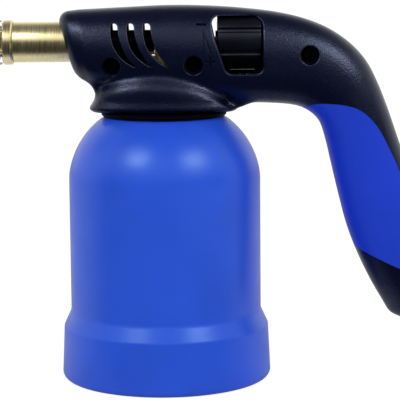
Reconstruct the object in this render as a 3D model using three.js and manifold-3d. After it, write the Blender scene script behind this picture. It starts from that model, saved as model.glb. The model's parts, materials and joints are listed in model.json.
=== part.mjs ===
// A gas blowlamp: a bell that holds a pierceable gas cartridge, and a screw-on head with its valve,
// brass burner and moulded handle. Millimetres, +Z up. The origin is on the bell's axis, on the plane
// that the lamp stands on. The burner points to -X and the handle hangs down at +X.
import * as THREE from "three";
import { mergeVertices } from "three/addons/utils/BufferGeometryUtils.js";
import Module from "manifold-3d";

const wasm = await Module();
wasm.setup();

// Clearances that every fit uses
const clearance = 0.3;
const threadGap = 0.5;
const overrun = 3;

// Bell
const bellRadius = 47.65;
const bellWall = 2.0;
const domeDepth = 31.4;
const domeRise = 35;
const domeCrownRadius = 18;
const skirtHeight = 26.5;
const shoulderHeight = 7.8;
const skirtTopRadius = 51.25;
const skirtFootRadius = 52.5;
const skirtBoreRadius = 47.8;
const skirtBoreDepth = 21;
const shoulderRounding = 3.2;
const footRounding = 3.4;
const footInnerRounding = 0.8;
const neckTurnIn = 9;
const neckWall = 1.6;

// Threaded bush in the bell's neck
const bushBoreRadius = 21.2;
const bushWall = 2.9;
const bushFlangeWidth = 2.4;
const bushFlangeThickness = 3.7;

// Base cap that screws into the skirt
const capDiscThickness = 2.5;
const capDiscHeight = 14.2;
const capRimHeight = 17;
const capRimWall = 2;
const capFootGap = 2;
const gripBarWidth = 12;
const gripBarLength = 74;
const padRadius = 36;
const padWidth = 7;
const padThickness = 2.2;
const padRecess = 0.8;

// Gas cartridge
const cartridgeRadius = 45;
const cartridgeHeight = 88.6;
const cartridgeWall = 0.8;
const cartridgeShoulderRounding = 7;
const cartridgeFootRounding = 4;
const cartridgeBossRadius = 13;
const cartridgeBossHeight = 5.2;
const cartridgeBossSlope = 5;
const piercedHoleRadius = 2.0;

// Seal washer and piercing needle under the valve
const sealRadius = 9;
const sealThickness = 3;
const needleRadius = 1.3;
const needleBore = 0.5;
const needleReach = 9;
const needlePress = 6;
const needleTipLength = 2.4;

// Black collar that the head stands on the bell with
const collarRadius = 31;
const collarHeight = 1.9;
const collarBossHeight = 10.5;
const collarEdgeRounding = 0.8;

// Valve body: upright hub and stem, and the arm on the burner's axis
const axisRise = 36.8;
const hubRadius = 12;
const hubDrop = 20.8;
const flangeRadius = 16.6;
const flangeThickness = 3.4;
const flangeLedge = 3;
const stemRadius = 8.6;
const stemGap = 1.2;
const armRadius = 7.2;
const armLeft = 4.2;
const armRight = 18.6;
const spigotRadius = 4.4;
const spigotLength = 4;
const spigotBore = 3.5;
const gasPassageRadius = 1.3;
const chamberRadius = 3.6;
const chamberStart = 3.4;

// Gas jet
const jetHexRadius = 3.2;
const jetHexLength = 3.6;
const jetNoseRadius = 1.5;
const jetNoseLength = 4.2;
const jetBore = 0.4;

// Valve needle, spindle, O-ring and gland nut
const valveNeedleLength = 5.6;
const valveNeedleTip = 2.4;
const needleStroke = 1.5;
const spindleRadius = 2.2;
const spindleWaistRadius = 1.4;
const ringPlace = 3.2;
const glandHexRadius = 6.4;
const glandHexLength = 3.6;
const glandPlugLength = 2.2;

// Control knob
const knobRadius = 14.2;
const knobStart = 26.7;
const knobLength = 21.6;
const knobHubRadius = 5;
const knobHubLength = 0.9;
const knobLobes = 8;
const knobGrooveDepth = 1.2;
const knobGrooveHalfAngle = 6.2;
const knobGrooveFloorShare = 0.5;
const knobPhase = 24;
const knobEdge = 0.8;
const knobBoreDepth = 15;
const knobRecessRadius = 4.4;
const knobRecessDepth = 3.2;
const knobScrewRadius = 1.2;
const knobScrewHeadRadius = 3;
const knobScrewHeadLength = 2;
const knobScrewGrip = 5;

// Mixing tube and burner
const mixerRadius = 5.6;
const mixerWall = 0.9;
const mixerLength = 26.5;
const mixerFlareLength = 5;
const mixerPortRadius = 2.2;
const mixerPortPlace = 6.5;
const mixerPorts = 4;
const tubeRadius = 9.9;
const tubeWall = 0.9;
const tubeReach = 20.8;
const ringRadius = 11;
const ringLength = 4.9;
const ringChamfer = 0.7;
const neckSpigotLength = 6.5;
const burnerNeckRadius = 5.7;
const burnerNeckLength = 9.4;
const burnerNeckBore = 3.4;
const holderSeatRadius = 4.6;
const holderThickness = 3;
const holderHoleRadius = 1.1;
const holderHoles = 8;
const sleeveRadius = 11;
const sleeveWall = 0.6;
const sleeveLength = 29;
const sleeveGap = 0.8;
const sleeveNotches = 6;
const sleeveNotchWidth = 5.6;
const sleeveNotchDepth = 6.2;

// Moulded housing: the sizes that its side outline follows
const noseReach = 52.9;
const handleReach = 149;
const crownRise = 17.8;
const handleDrop = 141;
const headWidth = 35.2;
const noseRounding = 6.5;
const housingWall = 2.4;
const handleWall = 5.1;
const splitGap = 0.15;
const lipRadius = 37.1;
const lipEdge = 1.7;
const podRadius = 34.2;
const podHalfWidth = 19.4;
const podFlareHeight = 6.2;
const podFlareRounding = 3;
const archRise = 19.5;
const archCentre = -6;
const archRadius = 84;
const archNoseRadius = 95;
const ridgeEdge = 3;
const roofRun = 12;
const roofRise = 1;
const ribThickness = 3;
const ribPlace = 34.5;

// Air slots
const slotTopPlace = -23.7;
const slotTopRise = 7.7;
const slotHalfWidth = 1.7;
const slotDrop = 11.6;
const slotSweep = 9.7;
const slotTipWidth = 0.7;
const slotBendRise = 6.2;
const slotPitch = 8;
const slotCount = 3;

// Knob window
const windowRise = 12.5;
const windowDrop = 15.4;
const windowLead = 3.6;
const windowTail = 0.7;
const windowSlant = 7;
const windowRounding = 3.4;
const windowFootRounding = 8;
const windowCrookRounding = 5.5;

// Blue grip and the recess that it lies in
const gripThickness = 2.4;

// Housing screws
const wellRadius = 4.5;
const wellWall = 1.5;
const wellSeat = 7.9;
const bossRadius = 3.2;
const screwRadius = 1.5;
const screwHeadRadius = 3.6;
const screwHeadHeight = 2.4;
const screwLength = 15;
const driveRadius = 1.6;
const driveDepth = 1.4;
const noseScrewAlong = -25.2;
const noseScrewBelow = 11.4;
const neckScrewAlong = 14.9;
const neckScrewBelow = 11.1;
const crookScrewShares = [0.4805, -0.0475];
const heelScrewShares = [0.8658, -0.9149];

// Numbers of facets
const bellSides = 32;
const canSides = 24;
const tubeSides = 20;
const ringSides = 18;
const cavitySides = 12;
const wellSides = 12;
const smallSides = 10;
const hexSides = 6;
const domeSteps = 6;
const arcSteps = 2;
const slotSteps = 4;

// Corners nearer than this are one corner
const weldDistance = 0.0001;

// The dome is a superellipse: 2 would make it a plain ellipse
const domePower = 1.8;
// The head's cross-section and the pod's plan are superellipses too
const sectionPower = 2.35;
const podPower = 3;
// How much of the lip's reach beyond the pod's ends it also has at the pod's sides
const lipSideShare = 0.25;

// Heights and places that several pieces share
const padBottom = capDiscHeight + capDiscThickness - padRecess;
const cartridgeBottom = padBottom + padThickness + clearance;
const cartridgeTop = cartridgeBottom + cartridgeHeight;
const sealTop = cartridgeTop + clearance + sealThickness;
const hubBottom = sealTop + clearance;
const bellHeight = hubBottom + hubDrop;
const domeStart = bellHeight - domeDepth;
const seatHeight = bellHeight + clearance;
const axisHeight = bellHeight + axisRise;
const capRimRadius = skirtBoreRadius - threadGap;
const collarTop = seatHeight + collarHeight;
const podFoot = collarTop + clearance;
const ledgeTop = podFoot + flangeLedge;
const flangeBottom = ledgeTop + clearance;
const slideRadius = chamberRadius - clearance;
const ringSection = (slideRadius - spindleWaistRadius - clearance) / 2;
const stemTop = axisHeight - mixerRadius - stemGap;
const neckHoleRadius = bushBoreRadius + bushWall + clearance;
const tubeBore = tubeRadius - tubeWall;
const mixerEnd = armLeft + clearance + mixerLength;
const tubeInnerEnd = mixerEnd + mixerWall;
const tubeOuterEnd = noseReach + tubeReach;
const ringFace = tubeOuterEnd + clearance;
const neckStart = ringFace + ringLength;
const holderFace = neckStart + burnerNeckLength;
const sleeveStart = neckStart + sleeveGap;
const spindleStart = chamberStart + clearance + valveNeedleLength + needleStroke + clearance;
const spindleEnd = knobStart + knobBoreDepth - clearance;

// Side outline of the head and handle. Each row is one cross-section: the place of its top (outer) edge,
// the place of its bottom (inner) edge and its width. Places ahead of the bell's axis are shares of
// noseReach, places behind it of handleReach, heights above the burner's axis of crownRise, heights
// below it of handleDrop, and widths are shares of headWidth.
const sectionShares = [
  [-1.0, 0.865, -0.803, -0.142, 0.85],
  [-0.718, 0.904, -0.628, -0.146, 0.94],
  [-0.34, 0.955, -0.322, -0.153, 0.99],
  [0.017, 1.0, 0.013, -0.168, 1.0],
  [0.148, 0.978, 0.134, -0.193, 1.0],
  [0.268, 0.904, 0.242, -0.214, 0.99],
  [0.376, 0.787, 0.329, -0.218, 0.966],
  [0.47, 0.596, 0.399, -0.222, 0.95],
  [0.55, 0.315, 0.446, -0.2305, 0.938],
  [0.62, -0.0115, 0.48, -0.247, 0.932],
  [0.672, -0.072, 0.505, -0.269, 0.926],
  [0.708, -0.143, 0.522, -0.2965, 0.92],
  [0.742, -0.232, 0.5375, -0.349, 0.915],
  [0.772, -0.324, 0.5503, -0.4057, 0.91],
  [0.801, -0.413, 0.5651, -0.4738, 0.905],
  [0.832, -0.519, 0.5852, -0.5617, 0.905],
  [0.865, -0.615, 0.6107, -0.661, 0.905],
  [0.901, -0.707, 0.6483, -0.7638, 0.905],
  [0.94, -0.796, 0.6926, -0.8596, 0.905],
  [0.979, -0.874, 0.7315, -0.9305, 0.9],
  [0.998, -0.924, 0.7544, -0.9681, 0.87],
  [0.99, -0.96, 0.7886, -0.9858, 0.76],
  [0.957, -0.991, 0.8356, -1.004, 0.58],
];
const handleSection = 8;

// Corners of the grip's outline on the handle's side, in the same shares. The first and the last lie
// clear of the handle's inner edge.
const gripOutlineShares = [
  [0.44, -0.27],
  [0.466, -0.2275],
  [0.505, -0.2165],
  [0.55, -0.216],
  [0.6, -0.222],
  [0.645, -0.238],
  [0.682, -0.27],
  [0.713, -0.312],
  [0.745, -0.377],
  [0.775, -0.445],
  [0.802, -0.535],
  [0.836, -0.636],
  [0.873, -0.728],
  [0.9, -0.795],
  [0.893, -0.822],
  [0.848, -0.826],
  [0.78, -0.799],
  [0.7, -0.761],
  [0.638, -0.732],
  [0.56, -0.71],
  [0.36, -0.7],
];

function finish(colour, roughness, metalness) {
  return new THREE.MeshStandardMaterial({ color: colour, roughness, metalness });
}

// A geometry with its shared corners merged, its degenerate facets left out and its faces turned out
function welded(geometry) {
  const bare = new THREE.BufferGeometry();
  bare.setAttribute("position", geometry.getAttribute("position"));
  bare.setIndex(geometry.getIndex());
  const merged = mergeVertices(bare, weldDistance);
  const index = merged.getIndex().array;
  const place = merged.getAttribute("position");
  const kept = [];
  let volume = 0;
  const corner = [new THREE.Vector3(), new THREE.Vector3(), new THREE.Vector3()];
  for (let i = 0; i < index.length; i += 3) {
    const [a, b, c] = [index[i], index[i + 1], index[i + 2]];
    if (a !== b && b !== c && c !== a) {
      kept.push(a, b, c);
      [a, b, c].forEach((vertex, k) => corner[k].fromBufferAttribute(place, vertex));
      volume += corner[0].dot(corner[1].cross(corner[2]));
    }
  }
  if (volume < 0) {
    kept.reverse();
  }
  merged.setIndex(kept);
  return merged;
}

function solid(geometry) {
  const closed = welded(geometry);
  return new wasm.Manifold(
    new wasm.Mesh({
      numProp: 3,
      vertProperties: new Float32Array(closed.getAttribute("position").array),
      triVerts: new Uint32Array(closed.getIndex().array),
    }),
  );
}

function geometryOf(body) {
  const { vertProperties, triVerts } = body.getMesh();
  const geometry = new THREE.BufferGeometry();
  geometry.setAttribute("position", new THREE.BufferAttribute(vertProperties, 3));
  geometry.setIndex(new THREE.BufferAttribute(triVerts, 1));
  geometry.computeVertexNormals();
  return geometry;
}

function piece(name, body, material) {
  const mesh = new THREE.Mesh(geometryOf(body), material);
  mesh.name = name;
  return mesh;
}

// An outline whose corners are [x, y, radius]: a corner with a radius becomes an arc
function rounded(corners) {
  const count = corners.length;
  const at = (index) => new THREE.Vector2(...corners[(index + count) % count]);
  return corners.flatMap(([x, y, radius = 0], index) => {
    const here = new THREE.Vector2(x, y);
    if (radius === 0) {
      return [here];
    }
    const back = at(index - 1).sub(here).normalize();
    const ahead = at(index + 1).sub(here).normalize();
    const halfAngle = Math.acos(THREE.MathUtils.clamp(back.dot(ahead), -1, 1)) / 2;
    const reach = radius / Math.tan(halfAngle);
    const middle = back.clone().add(ahead).normalize();
    const centre = here.clone().addScaledVector(middle, radius / Math.sin(halfAngle));
    const start = here.clone().addScaledVector(back, reach).sub(centre);
    const end = here.clone().addScaledVector(ahead, reach).sub(centre);
    const sweep = Math.atan2(start.cross(end), start.dot(end));
    return Array.from({ length: arcSteps + 1 }, (_, step) =>
      start.clone().rotateAround(new THREE.Vector2(), (sweep * step) / arcSteps).add(centre),
    );
  });
}

// A body turned about Z. The outline is [radius, height, rounding] and closes on itself.
function turned(corners, sides) {
  const outline = rounded(corners);
  const lathe = new THREE.LatheGeometry([...outline, outline[0]], sides);
  return solid(lathe.rotateX(Math.PI / 2));
}

// A body turned about the burner's axis. The outline is [radius, distance ahead of the bell's axis,
// rounding], so what lies towards the burner's mouth has the larger distance.
function turnedOnBurner(corners, sides) {
  const outline = rounded(corners);
  const lathe = new THREE.LatheGeometry([...outline, outline[0]], sides);
  return solid(lathe.rotateZ(Math.PI / 2).translate(0, 0, axisHeight));
}

// A shape drawn in X and Z, extruded along Y
function alongY(outline, from, to) {
  const geometry = new THREE.ExtrudeGeometry(new THREE.Shape(outline), {
    depth: to - from,
    bevelEnabled: false,
  });
  return solid(geometry.rotateX(Math.PI / 2).translate(0, to, 0));
}

function rodAlongY(x, z, radius, from, to, sides = smallSides) {
  const rod = new THREE.CylinderGeometry(radius, radius, to - from, sides);
  return solid(rod.translate(x, (from + to) / 2, z));
}

function rodAlongX(radius, from, to, sides = smallSides) {
  const rod = new THREE.CylinderGeometry(radius, radius, to - from, sides);
  return solid(rod.rotateZ(Math.PI / 2).translate((from + to) / 2, 0, axisHeight));
}

function rodAlongZ(radius, from, to, sides = smallSides) {
  const rod = new THREE.CylinderGeometry(radius, radius, to - from, sides);
  return solid(rod.rotateX(Math.PI / 2).translate(0, 0, (from + to) / 2));
}

function box(low, high) {
  const size = high.map((value, axis) => value - low[axis]);
  const middle = high.map((value, axis) => (value + low[axis]) / 2);
  return solid(new THREE.BoxGeometry(...size).translate(...middle));
}

// A closed body through a row of rings that have the same number of corners
function loft(rings) {
  const count = rings[0].length;
  const middleOf = (ring) =>
    ring.reduce((sum, corner) => sum.add(corner), new THREE.Vector3()).divideScalar(count);
  const corners = [...rings.flat(), middleOf(rings[0]), middleOf(rings[rings.length - 1])];
  const index = [];
  for (let ring = 0; ring < rings.length - 1; ring += 1) {
    for (let k = 0; k < count; k += 1) {
      const a = ring * count + k;
      const b = ring * count + ((k + 1) % count);
      index.push(a, b, b + count, a, b + count, a + count);
    }
  }
  const last = (rings.length - 1) * count;
  for (let k = 0; k < count; k += 1) {
    const next = (k + 1) % count;
    index.push(next, k, rings.length * count);
    index.push(last + k, last + next, rings.length * count + 1);
  }
  const geometry = new THREE.BufferGeometry().setFromPoints(corners);
  geometry.setIndex(index);
  return solid(geometry);
}

// Bell
function domeOutline(inset) {
  const width = bellRadius - inset - domeCrownRadius;
  const rise = domeRise - inset;
  const points = [];
  for (let step = 0; step <= domeSteps; step += 1) {
    const angle = (Math.PI / 2) * (step / domeSteps);
    const radius = domeCrownRadius + width * Math.cos(angle) ** (2 / domePower);
    const height = domeStart + rise * Math.sin(angle) ** (2 / domePower);
    points.push([radius, height]);
  }
  return points.filter(([radius, height]) => radius > neckHoleRadius + neckWall && height < bellHeight - inset);
}

function makeBell() {
  const boreTop = skirtBoreDepth;
  const outside = [
    [skirtBoreRadius, 0, footInnerRounding],
    [skirtFootRadius, 0, footRounding],
    [skirtTopRadius, skirtHeight, shoulderRounding],
    [bellRadius, skirtHeight + shoulderHeight],
    ...domeOutline(0),
  ];
  const neck = [
    [domeRadiusAt(bellHeight, 0), bellHeight],
    [neckHoleRadius, bellHeight],
    [neckHoleRadius, bellHeight - neckTurnIn],
    [neckHoleRadius + neckWall, bellHeight - neckTurnIn],
    [neckHoleRadius + neckWall, bellHeight - bellWall],
    [domeRadiusAt(bellHeight - bellWall, bellWall), bellHeight - bellWall],
  ];
  const inside = [
    ...domeOutline(bellWall).reverse(),
    [bellRadius - bellWall, boreTop + skirtBoreRadius - bellRadius + bellWall],
    [skirtBoreRadius, boreTop],
  ];
  return turned([...outside, ...neck, ...inside], bellSides);
}

function domeRadiusAt(height, inset) {
  const up = Math.max((height - domeStart) / (domeRise - inset), 0);
  const across = Math.max(1 - up ** domePower, 0) ** (1 / domePower);
  return domeCrownRadius + (bellRadius - inset - domeCrownRadius) * across;
}

function makeNeckBush() {
  const outer = bushBoreRadius + bushWall;
  const top = bellHeight - clearance;
  const flangeTop = bellHeight - neckTurnIn - clearance;
  const foot = flangeTop - bushFlangeThickness;
  return turned(
    [
      [bushBoreRadius, foot],
      [outer + bushFlangeWidth, foot],
      [outer + bushFlangeWidth, flangeTop],
      [outer, flangeTop],
      [outer, top],
      [bushBoreRadius, top],
    ],
    bellSides,
  );
}

// Base cap, its pad and the cartridge
function makeBaseCap() {
  const discTop = capDiscHeight + capDiscThickness;
  const rimBottom = capFootGap;
  const rimTop = rimBottom + capRimHeight;
  const inner = capRimRadius - capRimWall;
  const padOuter = padRadius + clearance;
  const padInner = padRadius - padWidth - clearance;
  const disc = turned(
    [
      [0, capDiscHeight],
      [inner, capDiscHeight],
      [inner, rimBottom],
      [capRimRadius, rimBottom, capRimWall / 3],
      [capRimRadius, rimTop],
      [inner, rimTop],
      [inner, discTop],
      [padOuter, discTop],
      [padOuter, padBottom - clearance],
      [padInner, padBottom - clearance],
      [padInner, discTop],
      [0, discTop],
    ],
    bellSides,
  );
  const bar = box(
    [-gripBarLength / 2, -gripBarWidth / 2, 0],
    [gripBarLength / 2, gripBarWidth / 2, capDiscHeight + capDiscThickness / 2],
  );
  return disc.add(bar);
}

function makeCartridgePad() {
  return turned(
    [
      [padRadius - padWidth, padBottom],
      [padRadius, padBottom],
      [padRadius, padBottom + padThickness],
      [padRadius - padWidth, padBottom + padThickness],
    ],
    canSides,
  );
}

function makeCartridge() {
  const canTop = cartridgeTop - cartridgeBossHeight;
  const bossFoot = cartridgeBossRadius + cartridgeBossSlope;
  const inner = cartridgeRadius - cartridgeWall;
  return turned(
    [
      [0, cartridgeBottom],
      [cartridgeRadius, cartridgeBottom, cartridgeFootRounding],
      [cartridgeRadius, canTop, cartridgeShoulderRounding],
      [bossFoot, canTop],
      [cartridgeBossRadius, cartridgeTop],
      [piercedHoleRadius, cartridgeTop],
      [piercedHoleRadius, cartridgeTop - cartridgeWall],
      [cartridgeBossRadius - cartridgeWall, cartridgeTop - cartridgeWall],
      [bossFoot - cartridgeWall, canTop - cartridgeWall],
      [inner, canTop - cartridgeWall, cartridgeShoulderRounding - cartridgeWall],
      [inner, cartridgeBottom + cartridgeWall, cartridgeFootRounding - cartridgeWall],
      [0, cartridgeBottom + cartridgeWall],
    ],
    canSides,
  );
}

// Seal, needle and collar
function makeSeal() {
  return turned(
    [
      [needleRadius + clearance, sealTop - sealThickness],
      [sealRadius, sealTop - sealThickness],
      [sealRadius, sealTop],
      [needleRadius + clearance, sealTop],
    ],
    ringSides,
  );
}

function makePiercingNeedle() {
  const tip = hubBottom - needleReach;
  const top = hubBottom + needlePress;
  return turned(
    [
      [needleBore, tip],
      [needleBore + clearance, tip],
      [needleRadius, tip + needleTipLength],
      [needleRadius, top],
      [needleBore, top],
    ],
    smallSides,
  );
}

function makeNeckCollar() {
  const bossRadiusOut = bushBoreRadius - threadGap;
  const bore = hubRadius + clearance;
  return turned(
    [
      [bore, seatHeight - collarBossHeight],
      [bossRadiusOut, seatHeight - collarBossHeight, collarEdgeRounding],
      [bossRadiusOut, seatHeight],
      [collarRadius, seatHeight, collarEdgeRounding],
      [collarRadius, collarTop],
      [bore, collarTop],
    ],
    bellSides,
  );
}

// Valve
function makeValveBody() {
  const shelf = flangeBottom + flangeThickness;
  const upright = rodAlongZ(hubRadius, hubBottom, flangeBottom, ringSides)
    .add(rodAlongZ(flangeRadius, flangeBottom, shelf, ringSides))
    .add(rodAlongZ(stemRadius, shelf, stemTop, ringSides))
    .add(rodAlongZ(armLeft, shelf, axisHeight, ringSides));
  const arm = rodAlongX(armRadius, -armLeft, armRight, ringSides);
  const spigot = rodAlongX(spigotRadius, -armLeft - spigotLength, armRight, ringSides);
  const spigotSpace = rodAlongX(spigotBore, -armLeft - spigotLength - overrun, -armLeft, ringSides);
  const needleSocket = rodAlongZ(
    needleRadius + clearance, hubBottom - overrun, hubBottom + needlePress + clearance,
  );
  const riser = rodAlongZ(gasPassageRadius, hubBottom, axisHeight);
  const crossway = rodAlongX(gasPassageRadius, -armLeft - overrun, chamberStart + overrun);
  const chamber = rodAlongX(chamberRadius, chamberStart, armRight + overrun);
  return upright
    .add(arm)
    .add(spigot)
    .subtract(spigotSpace)
    .subtract(needleSocket)
    .subtract(riser)
    .subtract(crossway)
    .subtract(chamber);
}

function makeGasJet() {
  const start = armLeft + clearance;
  const hexEnd = start + jetHexLength;
  const noseEnd = hexEnd + jetNoseLength;
  const nose = turnedOnBurner(
    [
      [jetBore, start],
      [jetNoseRadius * 2, start],
      [jetNoseRadius * 2, hexEnd],
      [jetNoseRadius, noseEnd],
      [jetBore, noseEnd],
    ],
    smallSides,
  );
  return rodAlongX(jetHexRadius, -hexEnd, -start, hexSides)
    .subtract(rodAlongX(jetNoseRadius, -noseEnd, overrun))
    .add(nose);
}

function makeValveNeedle() {
  const closed = -chamberStart - clearance;
  return turnedOnBurner(
    [
      [0, closed],
      [gasPassageRadius / 2, closed],
      [slideRadius, closed - valveNeedleTip],
      [slideRadius, closed - valveNeedleLength],
      [0, closed - valveNeedleLength],
    ],
    smallSides,
  );
}

function makeValveSpindle() {
  const groove = spindleStart + ringPlace;
  const grooveEnd = groove + ringSection * 2 + clearance * 2;
  const waist = spindleWaistRadius;
  return turnedOnBurner(
    [
      [0, -spindleStart],
      [spindleRadius, -spindleStart],
      [spindleRadius, -groove],
      [waist, -groove],
      [waist, -grooveEnd],
      [spindleRadius, -grooveEnd],
      [spindleRadius, -spindleEnd],
      [knobScrewRadius + clearance, -spindleEnd],
      [knobScrewRadius + clearance, -spindleEnd + knobScrewGrip + clearance],
      [0, -spindleEnd + knobScrewGrip + clearance],
    ],
    smallSides,
  );
}

function makeSpindleRing() {
  const place = spindleStart + ringPlace + clearance + ringSection;
  const torus = new THREE.TorusGeometry(slideRadius - ringSection, ringSection, smallSides / 2, ringSides);
  return solid(torus.rotateY(Math.PI / 2).translate(place, 0, axisHeight));
}

function makeGlandNut() {
  const start = armRight + clearance;
  const end = start + glandHexLength;
  return rodAlongX(glandHexRadius, start, end, hexSides)
    .add(rodAlongX(slideRadius, start - glandPlugLength, end))
    .subtract(rodAlongX(spindleRadius + clearance, -overrun, end + overrun));
}

// Knob
function knobOutline() {
  const floor = knobRadius - knobGrooveDepth;
  const lobe = 360 / knobLobes;
  const points = [];
  for (let index = 0; index < knobLobes; index += 1) {
    const groove = knobPhase + index * lobe;
    const floorHalf = knobGrooveHalfAngle * knobGrooveFloorShare;
    const crest = lobe - 2 * knobGrooveHalfAngle;
    const turns = [
      [groove - floorHalf, floor],
      [groove + floorHalf, floor],
      ...Array.from({ length: arcSteps + 1 }, (_, step) => [
        groove + knobGrooveHalfAngle + (crest * step) / arcSteps,
        knobRadius,
      ]),
    ];
    turns.forEach(([degrees, radius]) => {
      const angle = THREE.MathUtils.degToRad(degrees);
      points.push(new THREE.Vector2(-Math.sin(angle) * radius, -Math.cos(angle) * radius));
    });
  }
  return points;
}

function makeKnob() {
  const drum = new THREE.ExtrudeGeometry(new THREE.Shape(knobOutline()), {
    depth: knobLength - 2 * knobEdge,
    bevelThickness: knobEdge,
    bevelSize: knobEdge,
    bevelOffset: -knobEdge,
    bevelSegments: 1,
  });
  drum.rotateY(Math.PI / 2).translate(knobStart + knobEdge, 0, axisHeight);
  const hub = rodAlongX(knobHubRadius, knobStart - knobHubLength, knobStart + knobHubLength, ringSides);
  const bore = spindleRadius + clearance;
  const end = knobStart + knobLength;
  return solid(drum)
    .add(hub)
    .subtract(rodAlongX(bore, knobStart - knobHubLength - overrun, knobStart + knobBoreDepth))
    .subtract(rodAlongX(knobScrewRadius + clearance, knobStart, end))
    .subtract(rodAlongX(knobRecessRadius, end - knobRecessDepth, end + overrun, ringSides));
}

function makeKnobScrew() {
  const headFace = knobStart + knobLength - knobRecessDepth + clearance;
  const head = rodAlongX(knobScrewHeadRadius, headFace, headFace + knobScrewHeadLength, smallSides);
  const shank = rodAlongX(knobScrewRadius, spindleEnd - knobScrewGrip, headFace + clearance, smallSides);
  const drive = rodAlongX(driveRadius, headFace + knobScrewHeadLength - driveDepth / 2,
    headFace + knobScrewHeadLength + overrun, hexSides);
  return head.add(shank).subtract(drive);
}

// Burner
function makeMixingTube() {
  const start = armLeft + clearance;
  const end = mixerEnd;
  const bore = mixerRadius - mixerWall;
  const flare = tubeBore - clearance;
  const tube = turnedOnBurner(
    [
      [bore, start],
      [mixerRadius, start],
      [mixerRadius, end],
      [flare, end + flare - mixerRadius],
      [flare, end + mixerFlareLength],
      [flare - mixerWall, end + mixerFlareLength],
      [flare - mixerWall, end + flare - mixerRadius + mixerWall / 2],
      [bore, end + mixerWall / 2],
    ],
    tubeSides,
  );
  const port = -start - mixerPortPlace;
  let ported = tube;
  for (let index = 0; index < mixerPorts; index += 1) {
    const turn = Math.PI / 4 + (2 * Math.PI * index) / mixerPorts;
    const drill = new THREE.CylinderGeometry(mixerPortRadius, mixerPortRadius, mixerRadius * 2, smallSides);
    drill.translate(0, mixerRadius, 0).rotateX(turn).translate(port, 0, axisHeight);
    ported = ported.subtract(solid(drill));
  }
  return ported;
}

function makeBurnerTube() {
  return turnedOnBurner(
    [
      [tubeBore, tubeInnerEnd],
      [tubeRadius, tubeInnerEnd],
      [tubeRadius, tubeOuterEnd],
      [tubeBore, tubeOuterEnd],
    ],
    tubeSides,
  );
}

function makeBurnerNeck() {
  return turnedOnBurner(
    [
      [burnerNeckBore, ringFace - neckSpigotLength],
      [tubeBore - clearance, ringFace - neckSpigotLength],
      [tubeBore - clearance, ringFace],
      [ringRadius - ringChamfer, ringFace],
      [ringRadius, ringFace + ringChamfer],
      [ringRadius, neckStart - ringChamfer],
      [ringRadius - ringChamfer, neckStart],
      [burnerNeckRadius, neckStart],
      [burnerNeckRadius, holderFace],
      [holderSeatRadius, holderFace],
      [holderSeatRadius, holderFace + holderThickness + clearance * 2],
      [burnerNeckBore, holderFace + holderThickness + clearance * 2],
    ],
    tubeSides,
  );
}

function makeFlameHolder() {
  const rear = holderFace + clearance;
  const rim = sleeveRadius - sleeveWall - clearance;
  let disc = turnedOnBurner(
    [
      [holderSeatRadius + clearance, rear],
      [rim, rear],
      [rim, rear + holderThickness],
      [holderSeatRadius + clearance, rear + holderThickness],
    ],
    tubeSides,
  );
  const circle = (holderSeatRadius + clearance + rim) / 2;
  for (let index = 0; index < holderHoles; index += 1) {
    const angle = (2 * Math.PI * (index + 1 / 2)) / holderHoles;
    const drill = new THREE.CylinderGeometry(
      holderHoleRadius, holderHoleRadius, holderThickness + overrun, smallSides / 2,
    );
    drill.rotateZ(Math.PI / 2).translate(
      -rear - holderThickness / 2, circle * Math.cos(angle), axisHeight + circle * Math.sin(angle),
    );
    disc = disc.subtract(solid(drill));
  }
  return disc;
}

function makeFlameSleeve() {
  const bore = sleeveRadius - sleeveWall;
  const end = sleeveStart + sleeveLength;
  let sleeve = turnedOnBurner(
    [
      [bore, sleeveStart],
      [sleeveRadius, sleeveStart],
      [sleeveRadius, end],
      [bore, end],
    ],
    tubeSides,
  );
  for (let index = 0; index < sleeveNotches; index += 1) {
    const slot = new THREE.BoxGeometry(sleeveNotchDepth * 2, sleeveRadius * 2, sleeveNotchWidth);
    slot.translate(0, -sleeveRadius, 0).rotateX((2 * Math.PI * index) / sleeveNotches);
    slot.translate(-sleeveStart, 0, axisHeight);
    sleeve = sleeve.subtract(solid(slot));
  }
  return sleeve;
}

// Housing
function placeOf(along, up) {
  return new THREE.Vector3(
    along * (along < 0 ? noseReach : handleReach),
    0,
    axisHeight + up * (up > 0 ? crownRise : handleDrop),
  );
}

// The edges and half width of each cross-section, drawn in by an inset that may differ in the handle
function sections(headInset, handleInset) {
  return sectionShares.map(([topX, topZ, bottomX, bottomZ, width], index) => {
    const top = placeOf(topX, topZ);
    const bottom = placeOf(bottomX, bottomZ);
    const inset = index < handleSection ? headInset : handleInset;
    const across = top.clone().sub(bottom);
    const half = Math.max(across.length() / 2 - inset, inset);
    const halfWidth = Math.max((headWidth * width) / 2 - inset, inset);
    return { centre: top.add(bottom).divideScalar(2), up: across.normalize(), half, halfWidth };
  });
}

// One ring of the head's cross-section, drawn in by inset and moved by shift
function sectionRing({ centre, up, half, halfWidth }, sides, inset = 0, shift = new THREE.Vector3()) {
  const power = 2 / sectionPower;
  const curve = (value) => Math.sign(value) * Math.abs(value) ** power;
  return Array.from({ length: sides }, (_, k) => {
    const angle = (2 * Math.PI * k) / sides;
    const rise = (half - inset) * curve(Math.cos(angle));
    const out = (halfWidth - inset) * curve(Math.sin(angle));
    return centre.clone().add(shift).addScaledVector(up, rise).add(new THREE.Vector3(0, out, 0));
  });
}

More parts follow.
